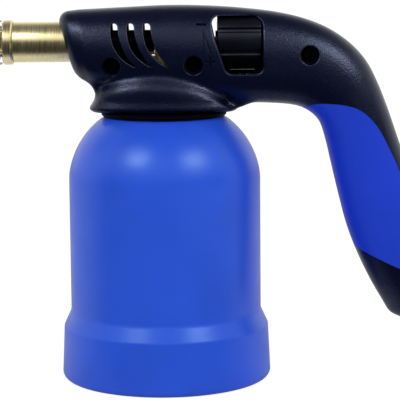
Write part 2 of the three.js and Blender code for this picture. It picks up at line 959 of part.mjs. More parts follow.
function bodyForm(headInset, handleInset, sides = ringSides) {
  const rows = sections(headInset, handleInset);
  const forward = rows[1].centre.clone().sub(rows[0].centre).normalize();
  const back = rows[rows.length - 2].centre.clone().sub(rows[rows.length - 1].centre).normalize();
  const round = Math.max(noseRounding - headInset, 0);
  const nose = Array.from({ length: arcSteps + 1 }, (_, step) => {
    const angle = (Math.PI / 2) * (step / arcSteps);
    const shift = forward.clone().multiplyScalar(headInset + round * (1 - Math.cos(angle)));
    return sectionRing(rows[0], sides, round * (1 - Math.sin(angle)), shift);
  });
  const rest = rows.slice(1, -1).map((row) => sectionRing(row, sides));
  const heel = sectionRing(rows[rows.length - 1], sides, 0, back.multiplyScalar(handleInset));
  return loft([...nose, ...rest, heel]);
}

// The pod over the bell's neck: a flat-sided skirt with a lip, under an arched roof with a bevelled ridge
function archHeight(x) {
  const radius = x < archCentre ? archNoseRadius : archRadius;
  const drop = radius - Math.sqrt(radius ** 2 - (x - archCentre) ** 2);
  return bellHeight + archRise - drop;
}

// A ring of the pod that reaches to radius at its ends, at a height that may follow x
function podRing(radius, heightAt) {
  const beyond = radius - podRadius;
  const side = podHalfWidth + beyond * (beyond > 0 ? lipSideShare : 1);
  const curve = (value) => Math.sign(value) * Math.abs(value) ** (2 / podPower);
  return Array.from({ length: bellSides }, (_, k) => {
    const angle = (2 * Math.PI * k) / bellSides;
    const along = curve(Math.cos(angle));
    const x = radius * along;
    return new THREE.Vector3(x, side * curve(Math.sin(angle)), heightAt(podRadius * along));
  });
}

function podForm() {
  const top = bellHeight + archRise + roofRise + overrun;
  const reach = lipRadius + overrun;
  const profile = rounded([
    [lipRadius - lipEdge, podFoot],
    [lipRadius, podFoot + lipEdge],
    [podRadius, podFoot + podFlareHeight, podFlareRounding],
    [podRadius, top],
  ]);
  const skirt = loft(profile.map(({ x, y }) => podRing(x, () => y)));
  const roof = loft([
    podRing(reach, () => podFoot - overrun),
    podRing(reach, (x) => Math.max(archHeight(x) - ridgeEdge - reach + podRadius, podFoot)),
    podRing(podRadius - ridgeEdge, archHeight),
    podRing(podRadius - roofRun, (x) => archHeight(x) + roofRise),
  ]);
  return skirt.intersect(roof);
}

function slotOutlines() {
  return Array.from({ length: slotCount }, (_, index) => {
    const x = slotTopPlace + index * slotPitch;
    const top = axisHeight + slotTopRise;
    const tip = axisHeight - slotDrop;
    const bend = axisHeight - slotBendRise;
    const shape = new THREE.Shape();
    shape.absarc(x, top, slotHalfWidth, 0, Math.PI);
    shape.quadraticCurveTo(x - slotHalfWidth, bend, x + slotSweep, tip);
    shape.lineTo(x + slotSweep + slotTipWidth, tip + slotTipWidth);
    shape.quadraticCurveTo(x + slotHalfWidth + slotTipWidth, bend + slotHalfWidth, x + slotHalfWidth, top);
    return shape.getPoints(slotSteps);
  });
}

function windowOutline() {
  const left = knobStart - windowLead;
  const right = knobStart + knobLength + windowTail;
  const top = axisHeight + windowRise;
  const bottom = axisHeight - windowDrop;
  return rounded([
    [left, top, windowRounding],
    [left + windowSlant, bottom, windowFootRounding],
    [right, bottom, windowRounding],
    [right, top, windowCrookRounding],
  ]);
}

function gripOutline() {
  const corners = gripOutlineShares.map(([along, down]) => placeOf(along, down));
  return corners.map(({ x, z }) => new THREE.Vector2(x, z));
}

// Places of the four housing screws
const screwSeats = {
  nose: new THREE.Vector3(noseScrewAlong, 0, axisHeight - noseScrewBelow),
  neck: new THREE.Vector3(neckScrewAlong, 0, axisHeight - neckScrewBelow),
  crook: placeOf(...crookScrewShares),
  heel: placeOf(...heelScrewShares),
};

// Space inside the housing for the valve and the tubes
function innerSpace() {
  const far = headWidth;
  const hubSpace = rodAlongZ(hubRadius + clearance, collarTop, flangeBottom + overrun, ringSides);
  const flangeSpace = rodAlongZ(
    flangeRadius + clearance, ledgeTop, flangeBottom + flangeThickness + clearance, ringSides,
  );
  const stemSpace = rodAlongZ(stemRadius + clearance, flangeBottom, axisHeight, ringSides);
  const noseBore = rodAlongX(tubeRadius + clearance, -noseReach - far, -tubeInnerEnd, tubeSides);
  const knobSpace = rodAlongX(
    knobRadius + threadGap, knobStart - clearance, knobStart + knobLength + clearance, tubeSides,
  );
  return bodyForm(housingWall, handleWall, cavitySides)
    .add(knobSpace)
    .add(hubSpace)
    .add(flangeSpace)
    .add(stemSpace)
    .add(noseBore);
}

// A rib across the head that carries the burner tube
function tubeRib() {
  const half = headWidth;
  const plate = box(
    [-ribPlace - ribThickness, -half, axisHeight - half],
    [-ribPlace, half, axisHeight + half],
  );
  return plate.subtract(rodAlongX(tubeRadius + clearance, -ribPlace - half, -ribPlace + half, tubeSides));
}

function screwPosts() {
  const far = headWidth;
  return Object.values(screwSeats).reduce((posts, { x, z }) => {
    const post = rodAlongY(x, z, bossRadius, -wellSeat, far).add(
      rodAlongY(x, z, wellRadius + wellWall, -far, -wellSeat + wellWall, wellSides),
    );
    return posts ? posts.add(post) : post;
  }, null);
}

function screwHoles() {
  const far = headWidth;
  return Object.values(screwSeats).reduce((holes, { x, z }) => {
    const hole = rodAlongY(x, z, wellRadius, -far, -wellSeat - clearance, wellSides).add(
      rodAlongY(x, z, screwRadius + clearance, -far, screwLength - wellSeat + clearance),
    );
    return holes ? holes.add(hole) : hole;
  }, null);
}

function housingForm() {
  const outside = bodyForm(0, 0).add(podForm());
  const recess = alongY(gripOutline(), -headWidth, headWidth).subtract(
    bodyForm(gripThickness + clearance, gripThickness + clearance, cavitySides),
  );
  const ribs = tubeRib().add(screwPosts());
  const inside = innerSpace();
  let shell = outside.subtract(inside).add(ribs.intersect(bodyForm(housingWall / 2, handleWall / 2)));
  slotOutlines().forEach((outline) => {
    shell = shell.subtract(alongY(outline, -headWidth, headWidth));
  });
  return shell
    .subtract(alongY(windowOutline(), -headWidth, headWidth))
    .subtract(recess)
    .subtract(screwHoles());
}

const housing = housingForm();

function housingHalf(side) {
  const reach = noseReach + handleReach;
  const low = side < 0 ? -reach : splitGap;
  const high = side < 0 ? -splitGap : reach;
  return housing.intersect(box([-reach, low, 0], [reach, high, axisHeight + reach]));
}

function makeGrip() {
  const skin = bodyForm(0, 0).subtract(bodyForm(gripThickness, gripThickness, cavitySides));
  const corners = gripOutline();
  return skin.intersect(alongY(corners, -headWidth, headWidth));
}

function makeHousingScrew({ x, z }) {
  const seatFace = -wellSeat - clearance * 2;
  const head = rodAlongY(x, z, screwHeadRadius, seatFace - screwHeadHeight, seatFace);
  const shank = rodAlongY(x, z, screwRadius, seatFace, screwLength - wellSeat);
  const drive = rodAlongY(x, z, driveRadius, seatFace - screwHeadHeight - overrun,
    seatFace - screwHeadHeight + driveDepth, hexSides);
  return head.add(shank).subtract(drive);
}

// Materials
const blueSatin = () => finish(0x2350c8, 0.42, 0);
const blueGrip = () => finish(0x1f3ab8, 0.5, 0);
const blackNylon = () => finish(0x0d0e16, 0.5, 0);
const blackPlastic = () => finish(0x08080c, 0.45, 0);
const brass = () => finish(0xc9b27a, 0.25, 1);
const steel = () => finish(0xb9bcc0, 0.3, 1);
const darkSteel = () => finish(0x2a2a2c, 0.4, 1);
const rubber = () => finish(0x151515, 0.9, 0);

const blowlamp = new THREE.Group();

blowlamp.add(piece("bell", makeBell(), blueSatin()));
blowlamp.add(piece("neck_bush", makeNeckBush(), steel()));
blowlamp.add(piece("base_cap", makeBaseCap(), blueSatin()));
blowlamp.add(piece("cartridge_pad", makeCartridgePad(), rubber()));
blowlamp.add(piece("cartridge", makeCartridge(), steel()));
blowlamp.add(piece("cartridge_seal", makeSeal(), rubber()));

const head = new THREE.Group();
head.add(piece("neck_collar", makeNeckCollar(), blackPlastic()));
head.add(piece("valve_body", makeValveBody(), brass()));
head.add(piece("piercing_needle", makePiercingNeedle(), steel()));
head.add(piece("gas_jet", makeGasJet(), brass()));
head.add(piece("valve_needle", makeValveNeedle(), steel()));
head.add(piece("valve_spindle", makeValveSpindle(), brass()));
head.add(piece("spindle_o_ring", makeSpindleRing(), rubber()));
head.add(piece("gland_nut", makeGlandNut(), brass()));
head.add(piece("control_knob", makeKnob(), blackPlastic()));
head.add(piece("knob_screw", makeKnobScrew(), steel()));
head.add(piece("mixing_tube", makeMixingTube(), darkSteel()));
head.add(piece("burner_tube", makeBurnerTube(), brass()));
head.add(piece("burner_neck", makeBurnerNeck(), brass()));
head.add(piece("flame_holder", makeFlameHolder(), brass()));
head.add(piece("flame_sleeve", makeFlameSleeve(), steel()));
head.add(piece("housing_front", housingHalf(-1), blackNylon()));
head.add(piece("housing_rear", housingHalf(1), blackNylon()));
head.add(piece("grip_insert", makeGrip(), blueGrip()));
Object.entries(screwSeats).forEach(([name, seat]) => {
  head.add(piece(`housing_screw_${name}`, makeHousingScrew(seat), steel()));
});
blowlamp.add(head);

export default blowlamp;
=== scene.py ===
import json
import math

import bmesh
import bpy
from bpy.props import FloatProperty, FloatVectorProperty, IntProperty, PointerProperty
from bpy.types import Operator, Panel, PropertyGroup
from mathutils import Matrix, Vector
from mathutils.bvhtree import BVHTree


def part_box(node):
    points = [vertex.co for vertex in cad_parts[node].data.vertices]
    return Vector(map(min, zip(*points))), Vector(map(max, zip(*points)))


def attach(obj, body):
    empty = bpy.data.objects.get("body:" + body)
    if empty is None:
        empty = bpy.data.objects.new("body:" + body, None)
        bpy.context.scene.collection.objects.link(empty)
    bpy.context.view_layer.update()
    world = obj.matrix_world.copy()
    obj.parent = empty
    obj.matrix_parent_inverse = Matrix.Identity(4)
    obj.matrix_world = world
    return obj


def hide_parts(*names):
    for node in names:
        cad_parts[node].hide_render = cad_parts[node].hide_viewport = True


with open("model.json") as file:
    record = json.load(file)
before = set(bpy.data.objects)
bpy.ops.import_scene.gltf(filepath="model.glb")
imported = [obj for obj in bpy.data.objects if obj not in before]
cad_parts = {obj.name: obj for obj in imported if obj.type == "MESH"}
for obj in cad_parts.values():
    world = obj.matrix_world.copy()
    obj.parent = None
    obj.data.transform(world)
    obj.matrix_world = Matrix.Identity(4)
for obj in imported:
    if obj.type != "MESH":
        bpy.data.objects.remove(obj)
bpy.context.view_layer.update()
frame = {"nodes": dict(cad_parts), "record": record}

bl_info = {
    "name": "Gas Blowlamp",
    "version": (1, 0, 0),
    "blender": (4, 5, 0),
    "location": "View3D > Sidebar > Blowlamp",
    "description": "Dresses the packed gas blowlamp with its moulded, turned and pressed surfaces",
    "category": "Add Mesh",
}

# Metres in a millimetre, and the running gap between pieces
MM = 0.001
GAP = 0.3 * MM

# The frame's own places: where the pieces meet each other
BELL_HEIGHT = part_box("bell")[1].z
AXIS_HEIGHT = sum(corner.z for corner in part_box("burner_tube")) / 2

# Side outline of the head and handle. Each row is one cross-section: the place of its top (outer) edge,
# the place of its bottom (inner) edge and its width. Places ahead of the bell's axis are shares of the
# nose's reach, places behind it of the handle's reach, heights above the burner's axis of the crown's
# rise, heights below it of the handle's drop, and widths are shares of the head's width.
SECTION_SHARES = [
    (-1.0, 0.865, -0.803, -0.142, 0.85),
    (-0.718, 0.904, -0.628, -0.146, 0.94),
    (-0.34, 0.955, -0.322, -0.153, 0.99),
    (0.017, 1.0, 0.013, -0.168, 1.0),
    (0.148, 0.978, 0.134, -0.193, 1.0),
    (0.268, 0.904, 0.242, -0.214, 0.99),
    (0.376, 0.787, 0.329, -0.218, 0.966),
    (0.47, 0.596, 0.399, -0.222, 0.95),
    (0.55, 0.315, 0.446, -0.2305, 0.938),
    (0.62, -0.0115, 0.48, -0.247, 0.932),
    (0.672, -0.072, 0.505, -0.269, 0.926),
    (0.708, -0.143, 0.522, -0.2965, 0.92),
    (0.742, -0.232, 0.5375, -0.349, 0.915),
    (0.772, -0.324, 0.5503, -0.4057, 0.91),
    (0.801, -0.413, 0.5651, -0.4738, 0.905),
    (0.832, -0.519, 0.5852, -0.5617, 0.905),
    (0.865, -0.615, 0.6107, -0.661, 0.905),
    (0.901, -0.707, 0.6483, -0.7638, 0.905),
    (0.94, -0.796, 0.6926, -0.8596, 0.905),
    (0.979, -0.874, 0.7315, -0.9305, 0.9),
    (0.998, -0.924, 0.7544, -0.9681, 0.87),
    (0.99, -0.96, 0.7886, -0.9858, 0.76),
    (0.957, -0.991, 0.8356, -1.004, 0.58),
]

# The row at which the head turns into the handle
HANDLE_SECTION = 8

# Outline of the grip on the handle's side, in the same shares. The first and the last corner lie clear
# of the handle's inner edge.
GRIP_SHARES = [
    (0.44, -0.27),
    (0.466, -0.2275),
    (0.505, -0.2165),
    (0.55, -0.216),
    (0.6, -0.222),
    (0.645, -0.238),
    (0.682, -0.27),
    (0.713, -0.312),
    (0.745, -0.377),
    (0.775, -0.445),
    (0.802, -0.535),
    (0.836, -0.636),
    (0.873, -0.728),
    (0.9, -0.795),
    (0.893, -0.822),
    (0.848, -0.826),
    (0.78, -0.799),
    (0.7, -0.761),
    (0.638, -0.732),
    (0.56, -0.71),
    (0.36, -0.7),
]

# Side outlines, in millimetres, of the fillets between the pod's ends and the head, and their half width
FILLETS = [
    [
        (-41.4, 150.6), (-37.5, 148.8), (-35.0, 146.3), (-33.8, 143.2),
        (-28.0, 143.2), (-28.0, 152.0), (-41.0, 152.0),
    ],
    [
        (30.0, 136.0), (36.5, 135.6), (38.7, 135.8), (41.0, 137.0),
        (44.5, 138.0), (44.5, 141.0), (30.0, 141.0),
    ],
]
FILLET_REACH = 9.0

# Side outlines, in millimetres, of the marks that say which way the knob opens. A third number is a
# corner's rounding. The plus is given by its middle, its half width and its reach.
MINUS = [(16.2, 176.4, 0.3), (21.3, 176.4, 0.3), (21.3, 177.4, 0.3), (16.2, 177.4, 0.3)]
WEDGE = [(19.0, 175.6), (24.0, 163.2), (23.1, 163.2), (19.9, 170.9), (20.5, 163.2), (20.0, 163.2)]
PLUS = (23.0, 158.9, 0.45, 2.5)

# Soft lamps: name, place and power. They share their width and height, and their aim.
LAMPS = (
    ("key_lamp", (-0.75, -0.95, 1.15), 8),
    ("fill_lamp", (0.85, -0.9, 1.05), 7.5),
)
LAMP_SIZE = (0.6, 0.45)
LAMP_AIM = (10 * MM, 0, 100 * MM)


def length(label, text, millimetres):
    """A size that the user can change."""
    return FloatProperty(name=label, description=text, default=millimetres * MM, unit="LENGTH", precision=5)


def share(label, text, value):
    """A plain number: a share, a power, an angle or a brightness."""
    return FloatProperty(name=label, description=text, default=value, precision=4)


def count(label, text, value):
    """A number of steps or copies."""
    return IntProperty(name=label, description=text, default=value, min=1)


def colour(label, text, value):
    """A surface colour."""
    return FloatVectorProperty(
        name=label, description=text, default=value, subtype="COLOR", size=3, min=0.0, max=1.0
    )


class BellSizes(PropertyGroup):
    """Bell"""

    radius: length("Radius", "Outer radius of the bell's wall", 47.65)
    wall: length("Wall", "Thickness of the bell's wall", 2.0)
    dome_depth: length("Dome depth", "Height of the dome under the bell's top", 31.4)
    dome_rise: length("Dome rise", "Height that the whole dome curve would have", 35.0)
    crown_radius: length("Crown radius", "Radius at which the dome curve turns flat", 18.0)
    dome_power: share("Dome power", "Power of the dome's superellipse", 1.8)
    skirt_height: length("Skirt height", "Height of the skirt's upper corner", 26.5)
    shoulder_height: length("Shoulder height", "Height of the slope over the skirt", 7.8)
    skirt_top: length("Skirt top radius", "Radius at the skirt's upper corner", 51.25)
    skirt_foot: length("Skirt foot radius", "Radius at the skirt's foot", 52.5)
    skirt_bore: length("Skirt bore", "Radius inside the skirt", 47.8)
    bore_depth: length("Bore depth", "Depth of the skirt's bore", 21.0)
    shoulder_rounding: length("Shoulder rounding", "Rounding of the skirt's upper corner", 3.6)
    waist_rounding: length("Waist rounding", "Rounding where the slope meets the wall", 7.0)
    foot_rounding: length("Foot rounding", "Rounding of the skirt's foot", 3.4)
    neck_hole: length("Neck hole", "Radius of the hole in the bell's neck", 24.4)
    neck_depth: length("Neck depth", "Depth of the turned-in neck", 9.0)
    neck_wall: length("Neck wall", "Thickness of the turned-in neck", 1.6)
    steps: count("Steps", "Steps of each turned surface", 144)


class BaseSizes(PropertyGroup):
    """Base cap and its grip bar"""

    wall: length("Wall", "Wall of the cap's rim", 2.0)
    rim_foot: length("Rim foot", "Height of the rim's lower edge", 2.0)
    disc: length("Disc", "Height of the disc's underside", 14.2)
    disc_top: length("Disc top", "Height of the disc's upper face", 16.7)
    pad_bore: length("Pad bore", "Inner radius of the rubber pad", 29.0)
    bar_reach: length("Bar reach", "Half length of the grip bar", 37.0)
    bar_half: length("Bar half width", "Half width of the grip bar", 6.0)
    bar_top: length("Bar top", "Height to which the bar reaches into the disc", 15.4)
    bar_rounding: length("Bar rounding", "Rounding of the bar's edges", 1.2)
    pockets: count("Pockets", "Number of pockets under the bar", 5)
    pocket_pitch: length("Pocket pitch", "From pocket to pocket", 14.0)
    pocket_reach: length("Pocket reach", "Half length of a pocket", 5.4)
    pocket_half: length("Pocket half width", "Half width of a pocket", 4.0)
    pocket_depth: length("Pocket depth", "Depth of a pocket", 8.0)
    steps: count("Steps", "Steps of each turned surface", 128)


class NeckSizes(PropertyGroup):
    """Neck collar and threaded bush"""

    bore: length("Bore", "Radius of the collar's bore", 12.3)
    root: length("Thread root", "Radius of the collar's thread at its root", 20.0)
    crest: length("Thread crest", "Radius of the collar's thread at its crest", 20.7)
    undercut: length("Undercut", "Depth of the undercut over the collar's thread", 1.6)
    bush_bore: length("Bush bore", "Radius of the bush's bore over its thread", 21.2)
    bush_radius: length("Bush radius", "Radius of the bush in the bell's neck", 24.1)
    bush_ledge: length("Bush ledge", "Depth of the bush's ledge under the bell's top", 9.3)
    bush_thread: length("Bush thread", "Depth of the bush's thread", 0.4)
    pitch: length("Pitch", "Pitch of both threads", 1.5)
    steps: count("Steps", "Steps of each turned surface", 128)


class HeadSizes(PropertyGroup):
    """Moulded head and handle"""

    nose_reach: length("Nose reach", "From the bell's axis to the end of the nose", 52.9)
    handle_reach: length("Handle reach", "From the bell's axis to the back of the handle", 148.95)
    crown_rise: length("Crown rise", "From the burner's axis to the crown", 17.78)
    handle_drop: length("Handle drop", "From the burner's axis to the handle's end", 141.0)
    width: length("Width", "Greatest width of the head", 35.2)
    section_power: share("Section power", "Power of the cross-section's superellipse", 2.35)
    section_sag: length("Section sag", "How far the head is widest under its middle", 3.0)
    nose_rounding: length("Nose rounding", "Rounding of the nose's front edge", 7.2)
    wall: length("Head wall", "Wall of the head", 2.4)
    handle_wall: length("Handle wall", "Wall of the handle", 5.1)
    split: length("Split gap", "Half of the gap between the two shells", 0.15)
    lip_radius: length("Lip radius", "Half length of the pod's lower lip", 37.1)
    lip_edge: length("Lip edge", "Chamfer of the lip's lower edge", 1.7)
    pod_radius: length("Pod radius", "Half length of the pod", 34.2)
    pod_width: length("Pod half width", "Half width of the pod", 19.4)
    pod_flare: length("Pod flare", "Height of the flare over the pod's foot", 6.2)
    flare_rounding: length("Flare rounding", "Rounding where the flare meets the pod's wall", 3.0)
    pod_power: share("Pod power", "Power of the pod's superellipse", 3.0)
    lip_side: share("Lip side share", "Share of the lip's reach that it has at the pod's sides", 0.25)
    arch_rise: length("Arch rise", "Height of the pod's ridge over the bell's top", 19.5)
    arch_centre: length("Arch centre", "Place of the ridge's highest point", -6.0)
    arch_radius: length("Arch radius", "Radius of the ridge towards the handle", 84.0)
    arch_nose_radius: length("Arch nose radius", "Radius of the ridge towards the nose", 95.0)
    ridge_run: length("Ridge run", "How far the pod's ridge leans inward", 2.9)
    ridge_drop: length("Ridge drop", "Height of the leaning ridge", 5.2)
    ridge_ease: share("Ridge ease", "Share of the ridge's lean that grows towards its top", 0.2)
    roof_run: length("Roof run", "Width of the pod's roof", 12.0)
    roof_rise: length("Roof rise", "Rise of the pod's roof", 18.0)
    end_rounding: length("End rounding", "Rounding of the handle's end", 1.6)
    grain: length("Mesh grain", "Size of the moulded skin's facets", 0.7)
    ridge_passes: count("Ridge passes", "How often the pod's ridge is smoothed", 24)
    heel_passes: count("Heel passes", "How often the pod's rear end is smoothed", 20)
    skin_passes: count("Skin passes", "How often the whole skin is smoothed", 3)
    rib_place: length("Rib place", "Place of the rib that carries the burner tube", 34.5)
    rib_thickness: length("Rib thickness", "Thickness of that rib", 3.0)
    grip_thickness: length("Grip thickness", "Thickness of the blue grip", 2.4)
    grip_gap: length("Grip gap", "Gap round the grip", 0.3)


class OpeningSizes(PropertyGroup):
    """Slots, knob window, screw wells and marks"""

    slot_place: length("Slot place", "Place of the first slot's round end", -23.7)
    slot_rise: length("Slot rise", "Height of the round ends over the burner's axis", 7.7)
    slot_half: length("Slot half width", "Half of a slot's width", 1.7)
    slot_drop: length("Slot drop", "Depth of the slots' tips under the axis", 11.6)
    slot_sweep: length("Slot sweep", "How far a slot sweeps back", 9.7)
    slot_tip: length("Slot tip", "Width of a slot's tip", 0.7)
    slot_bend: length("Slot bend", "Depth of the bend under the axis", 6.2)
    slot_pitch: length("Slot pitch", "From slot to slot", 8.0)
    slots: count("Slots", "Number of air slots", 3)
    slot_edge: length("Slot edge", "Rounding of the slots' edges", 0.45)
    slot_room: length("Slot room", "How near to the split the slots are cut", 8.0)
    window_rise: length("Window rise", "Top of the window over the axis", 12.5)
    window_drop: length("Window drop", "Bottom of the window under the axis", 15.4)
    window_start: length("Window start", "Place of the window's upper left corner", 23.1)
    window_bend_place: length("Window bend place", "Place of the bend in the window's left side", 25.5)
    window_bend_rise: length("Window bend rise", "Height of that bend over the axis", 1.3)
    window_foot: length("Window foot", "Place of the window's lower left corner", 31.2)
    window_end: length("Window end", "Place of the window's right side", 48.8)
    window_rounding: length("Window rounding", "Rounding of the window's left and lower corners", 3.6)
    window_crook_rounding: length("Crook rounding", "Rounding of the window's upper right corner", 5.2)
    window_bend_rounding: length("Bend rounding", "Rounding of the bend", 20.0)
    window_edge: length("Window edge", "Rounding of the window's edge", 1.0)
    well_radius: length("Well radius", "Radius of a screw well", 4.5)
    well_seat: length("Well seat", "Distance of the wells' seats from the split", 7.9)
    well_wall: length("Well wall", "Wall round a screw well", 1.5)
    boss_radius: length("Boss radius", "Radius of a screw boss", 3.2)
    screw_hole: length("Screw hole", "Radius of a screw hole", 1.8)
    hole_end: length("Hole end", "Depth of a screw hole behind the split", 7.4)
    well_edge: length("Well edge", "Rounding of the wells' edges", 0.6)
    mark_depth: length("Mark depth", "Depth of the moulded marks", 1.4)
    mark_edge: length("Mark edge", "Rounding of the marks' edges", 0.12)


class InsideSizes(PropertyGroup):
    """Rooms and rib inside the housing"""

    knob_room: length("Knob room", "Radius of the room for the knob", 14.7)
    knob_room_start: length("Knob room start", "Start of the room for the knob", 26.4)
    neck_room: length("Neck room", "Radius of the room for the valve's neck", 12.3)
    flange_place: length("Flange place", "Height of the valve's flange", 137.2)
    flange_room: length("Flange room", "Radius of the room for the flange", 16.9)
    flange_thickness: length("Flange thickness", "Thickness of the flange", 3.4)
    stem_room: length("Stem room", "Radius of the room for the valve's stem", 8.9)
    tube_room: length("Tube room", "Radius of the room for the burner tube", 10.2)
    tube_room_start: length("Tube room start", "Start of the room for the burner tube", 31.9)
    spine_start: length("Spine start", "Front end of the rib beside the mixing tube", -35.0)
    spine_end: length("Spine end", "Rear end of that rib", -9.3)
    spine_place: length("Spine place", "Distance of that rib from the split", 6.1)
    spine_thickness: length("Spine thickness", "Thickness of that rib", 1.5)
    spine_drop: length("Spine drop", "Depth of that rib's foot under the axis", 18.0)
    spine_top: length("Spine top", "Depth of that rib's top under the axis", 1.0)


class ScrewSizes(PropertyGroup):
    """Housing screws"""

    head: length("Head", "Height of a screw's head", 2.4)
    shank: length("Shank", "Radius of the shank", 1.2)
    fillet: length("Fillet", "Radius of the fillet under the head", 1.5)
    point: length("Point", "Length of the point", 1.4)
    recess_reach: length("Recess reach", "Half width of the cross recess", 1.9)
    recess_half: length("Recess half", "Half width of the recess's arms", 0.35)
    recess_depth: length("Recess depth", "Depth of the recess", 1.4)
    recess_turn: share("Recess turn", "Turn of the recess, in radians", 0.5)
    pitch: length("Pitch", "Pitch of the thread", 1.1)
    thread_depth: length("Thread depth", "Depth of the thread", 0.3)


class BurnerSizes(PropertyGroup):
    """Burner tube, neck and flame sleeve"""

    mixer_radius: length("Mixer radius", "Radius of the mixing tube", 5.6)
    mixer_start: length("Mixer start", "Start of the mixing tube", 4.5)
    mixer_end: length("Mixer end", "End of the mixing tube's straight part", 31.0)
    mixer_flare: length("Mixer flare", "Length of the mixing tube's flare", 5.0)
    ports: count("Ports", "Number of air ports", 4)
    mixer_port: length("Port radius", "Radius of the air ports", 2.2)
    port_place: length("Port place", "Distance of the ports from the tube's start", 6.5)
    wall: length("Wall", "Wall of the tubes", 0.9)
    tube_radius: length("Tube radius", "Radius of the brass burner tube", 9.9)
    tube_start: length("Tube start", "Start of the burner tube", 31.9)
    tube_end: length("Tube end", "End of the burner tube", 73.7)
    ring_radius: length("Ring radius", "Radius of the burner neck's ring", 11.0)
    ring_length: length("Ring length", "Length of that ring", 4.9)
    ring_chamfer: length("Ring chamfer", "Chamfer of that ring", 0.7)
    spigot: length("Spigot", "Depth of the neck in the tube", 6.5)
    neck_radius: length("Neck radius", "Radius of the burner's neck", 5.7)
    neck_length: length("Neck length", "Length of the burner's neck", 9.4)
    neck_bore: length("Neck bore", "Bore of the burner's neck", 3.4)
    holder_seat: length("Holder seat", "Radius of the flame holder's seat", 4.6)
    holder_thickness: length("Holder thickness", "Thickness of the flame holder", 3.0)
    holder_hole: length("Holder hole", "Radius of the flame holder's holes", 1.1)
    holder_holes: count("Holder holes", "Number of those holes", 8)
    sleeve_radius: length("Sleeve radius", "Radius of the flame sleeve", 11.0)
    sleeve_wall: length("Sleeve wall", "Wall of the flame sleeve", 0.6)
    sleeve_gap: length("Sleeve gap", "Gap between the ring and the sleeve", 0.8)
    sleeve_length: length("Sleeve length", "Length of the flame sleeve", 29.0)
    groove_place: length("Groove place", "Distance of the rolled groove from the sleeve's mouth", 3.2)
    groove_width: length("Groove width", "Width of the rolled groove", 2.0)
    groove_depth: length("Groove depth", "Depth of the rolled groove", 0.35)
    notches: count("Notches", "Notches at the sleeve's rear", 6)
    notch_width: length("Notch width", "Width of a notch", 5.6)
    notch_depth: length("Notch depth", "Depth of a notch", 6.2)
    notch_rounding: length("Notch rounding", "Rounding of a notch's corners", 1.6)


class KnobSizes(PropertyGroup):
    """Control knob"""

    radius: length("Radius", "Radius over the lobes", 14.2)
    start: length("Start", "Place of the knob's inner face", 26.7)
    length: length("Length", "Length of the drum", 21.6)
    hub_radius: length("Hub radius", "Radius of the hub", 5.0)
    hub_length: length("Hub length", "Length of the hub", 0.9)
    lobes: count("Lobes", "Number of lobes", 8)
    steps: count("Steps", "Steps of the drum's outline", 240)
    groove_depth: length("Groove depth", "Depth of the grooves", 1.2)
    groove_angle: share("Groove angle", "Half of a groove's angle, in degrees", 6.2)
    phase: share("Phase", "Angle of the first groove, in degrees", 24.0)
    edge: length("Edge", "Chamfer of the drum's ends", 0.8)
    bore: length("Bore", "Radius of the spindle's bore", 2.5)
    bore_depth: length("Bore depth", "Depth of the spindle's bore", 15.0)
    screw_hole: length("Screw hole", "Radius of the screw's hole", 1.5)
    recess_radius: length("Recess radius", "Radius of the screw's recess", 4.4)
    recess_depth: length("Recess depth", "Depth of the screw's recess", 3.2)


class Finishes(PropertyGroup):
    """Colours of the surfaces"""

    bell: colour("Bell blue", "Satin blue of the bell and its base", (0.015, 0.074, 0.62))
    grip: colour("Grip blue", "Deeper blue of the grip", (0.007, 0.034, 0.52))
    housing: colour("Housing black", "Blue-black of the moulded housing", (0.0006, 0.0018, 0.013))
    black: colour("Plain black", "Black of the collar and the knob", (0.001, 0.0012, 0.0035))
    brass: colour("Brass", "Polished brass of the burner", (0.98, 0.86, 0.48))
    steel: colour("Steel", "Bright steel", (0.62, 0.62, 0.63))
    # Near-black steel of the housing screws and the mixing tube, and of packed pieces in the same slot; its
    # base colour is darker than bare steel.
    dark_steel: colour("Dark steel", "Blackened steel", (0.008, 0.008, 0.01))
    can: colour("Cartridge", "Lacquer of the gas cartridge", (0.55, 0.56, 0.58))
    rubber: colour("Rubber", "Rubber of the seal and pads", (0.012, 0.012, 0.012))


class StageSizes(PropertyGroup):
    """Camera, lamps and floor"""

    aim_x: length("Aim along", "Point that the camera looks at, along X", 17.5)
    aim_z: length("Aim height", "Height of the point that the camera looks at", 88.7)
    distance: length("Distance", "From that point to the camera", 935.0)
    pitch: share("Pitch", "Downward tilt of the camera, in degrees", 8.3)
    roll: share("Roll", "Roll of the camera, in degrees", 0.5)
    lens: share("Lens", "Focal length on the 36 mm sensor", 168.3)
    floor: length("Floor", "Side of the floor", 24000.0)
    front_light: share("Front light", "Brightness of the screen in front of the object", 0.85)
    side_light: share("Side light", "Brightness of the room beside and behind the object", 1.0)
    overhead_light: share("Overhead light", "Brightness of the room over the object", 0.12)
    low_light: share("Low light", "Brightness of the room in front, under the screen", 0.02)
    floor_white: share("Floor white", "Whiteness of the floor", 0.9)
    floor_glow: share("Floor glow", "Brightness of the floor's glow, which only the camera sees", 1.25)
    glow_part: share("Glow part", "Part of the floor's look that is its glow", 0.7)


SETTINGS = {
    "blowlamp_bell": BellSizes,
    "blowlamp_base": BaseSizes,
    "blowlamp_neck": NeckSizes,
    "blowlamp_head": HeadSizes,
    "blowlamp_openings": OpeningSizes,
    "blowlamp_inside": InsideSizes,
    "blowlamp_burner": BurnerSizes,
    "blowlamp_knob": KnobSizes,
    "blowlamp_screws": ScrewSizes,
    "blowlamp_finishes": Finishes,
    "blowlamp_stage": StageSizes,
}


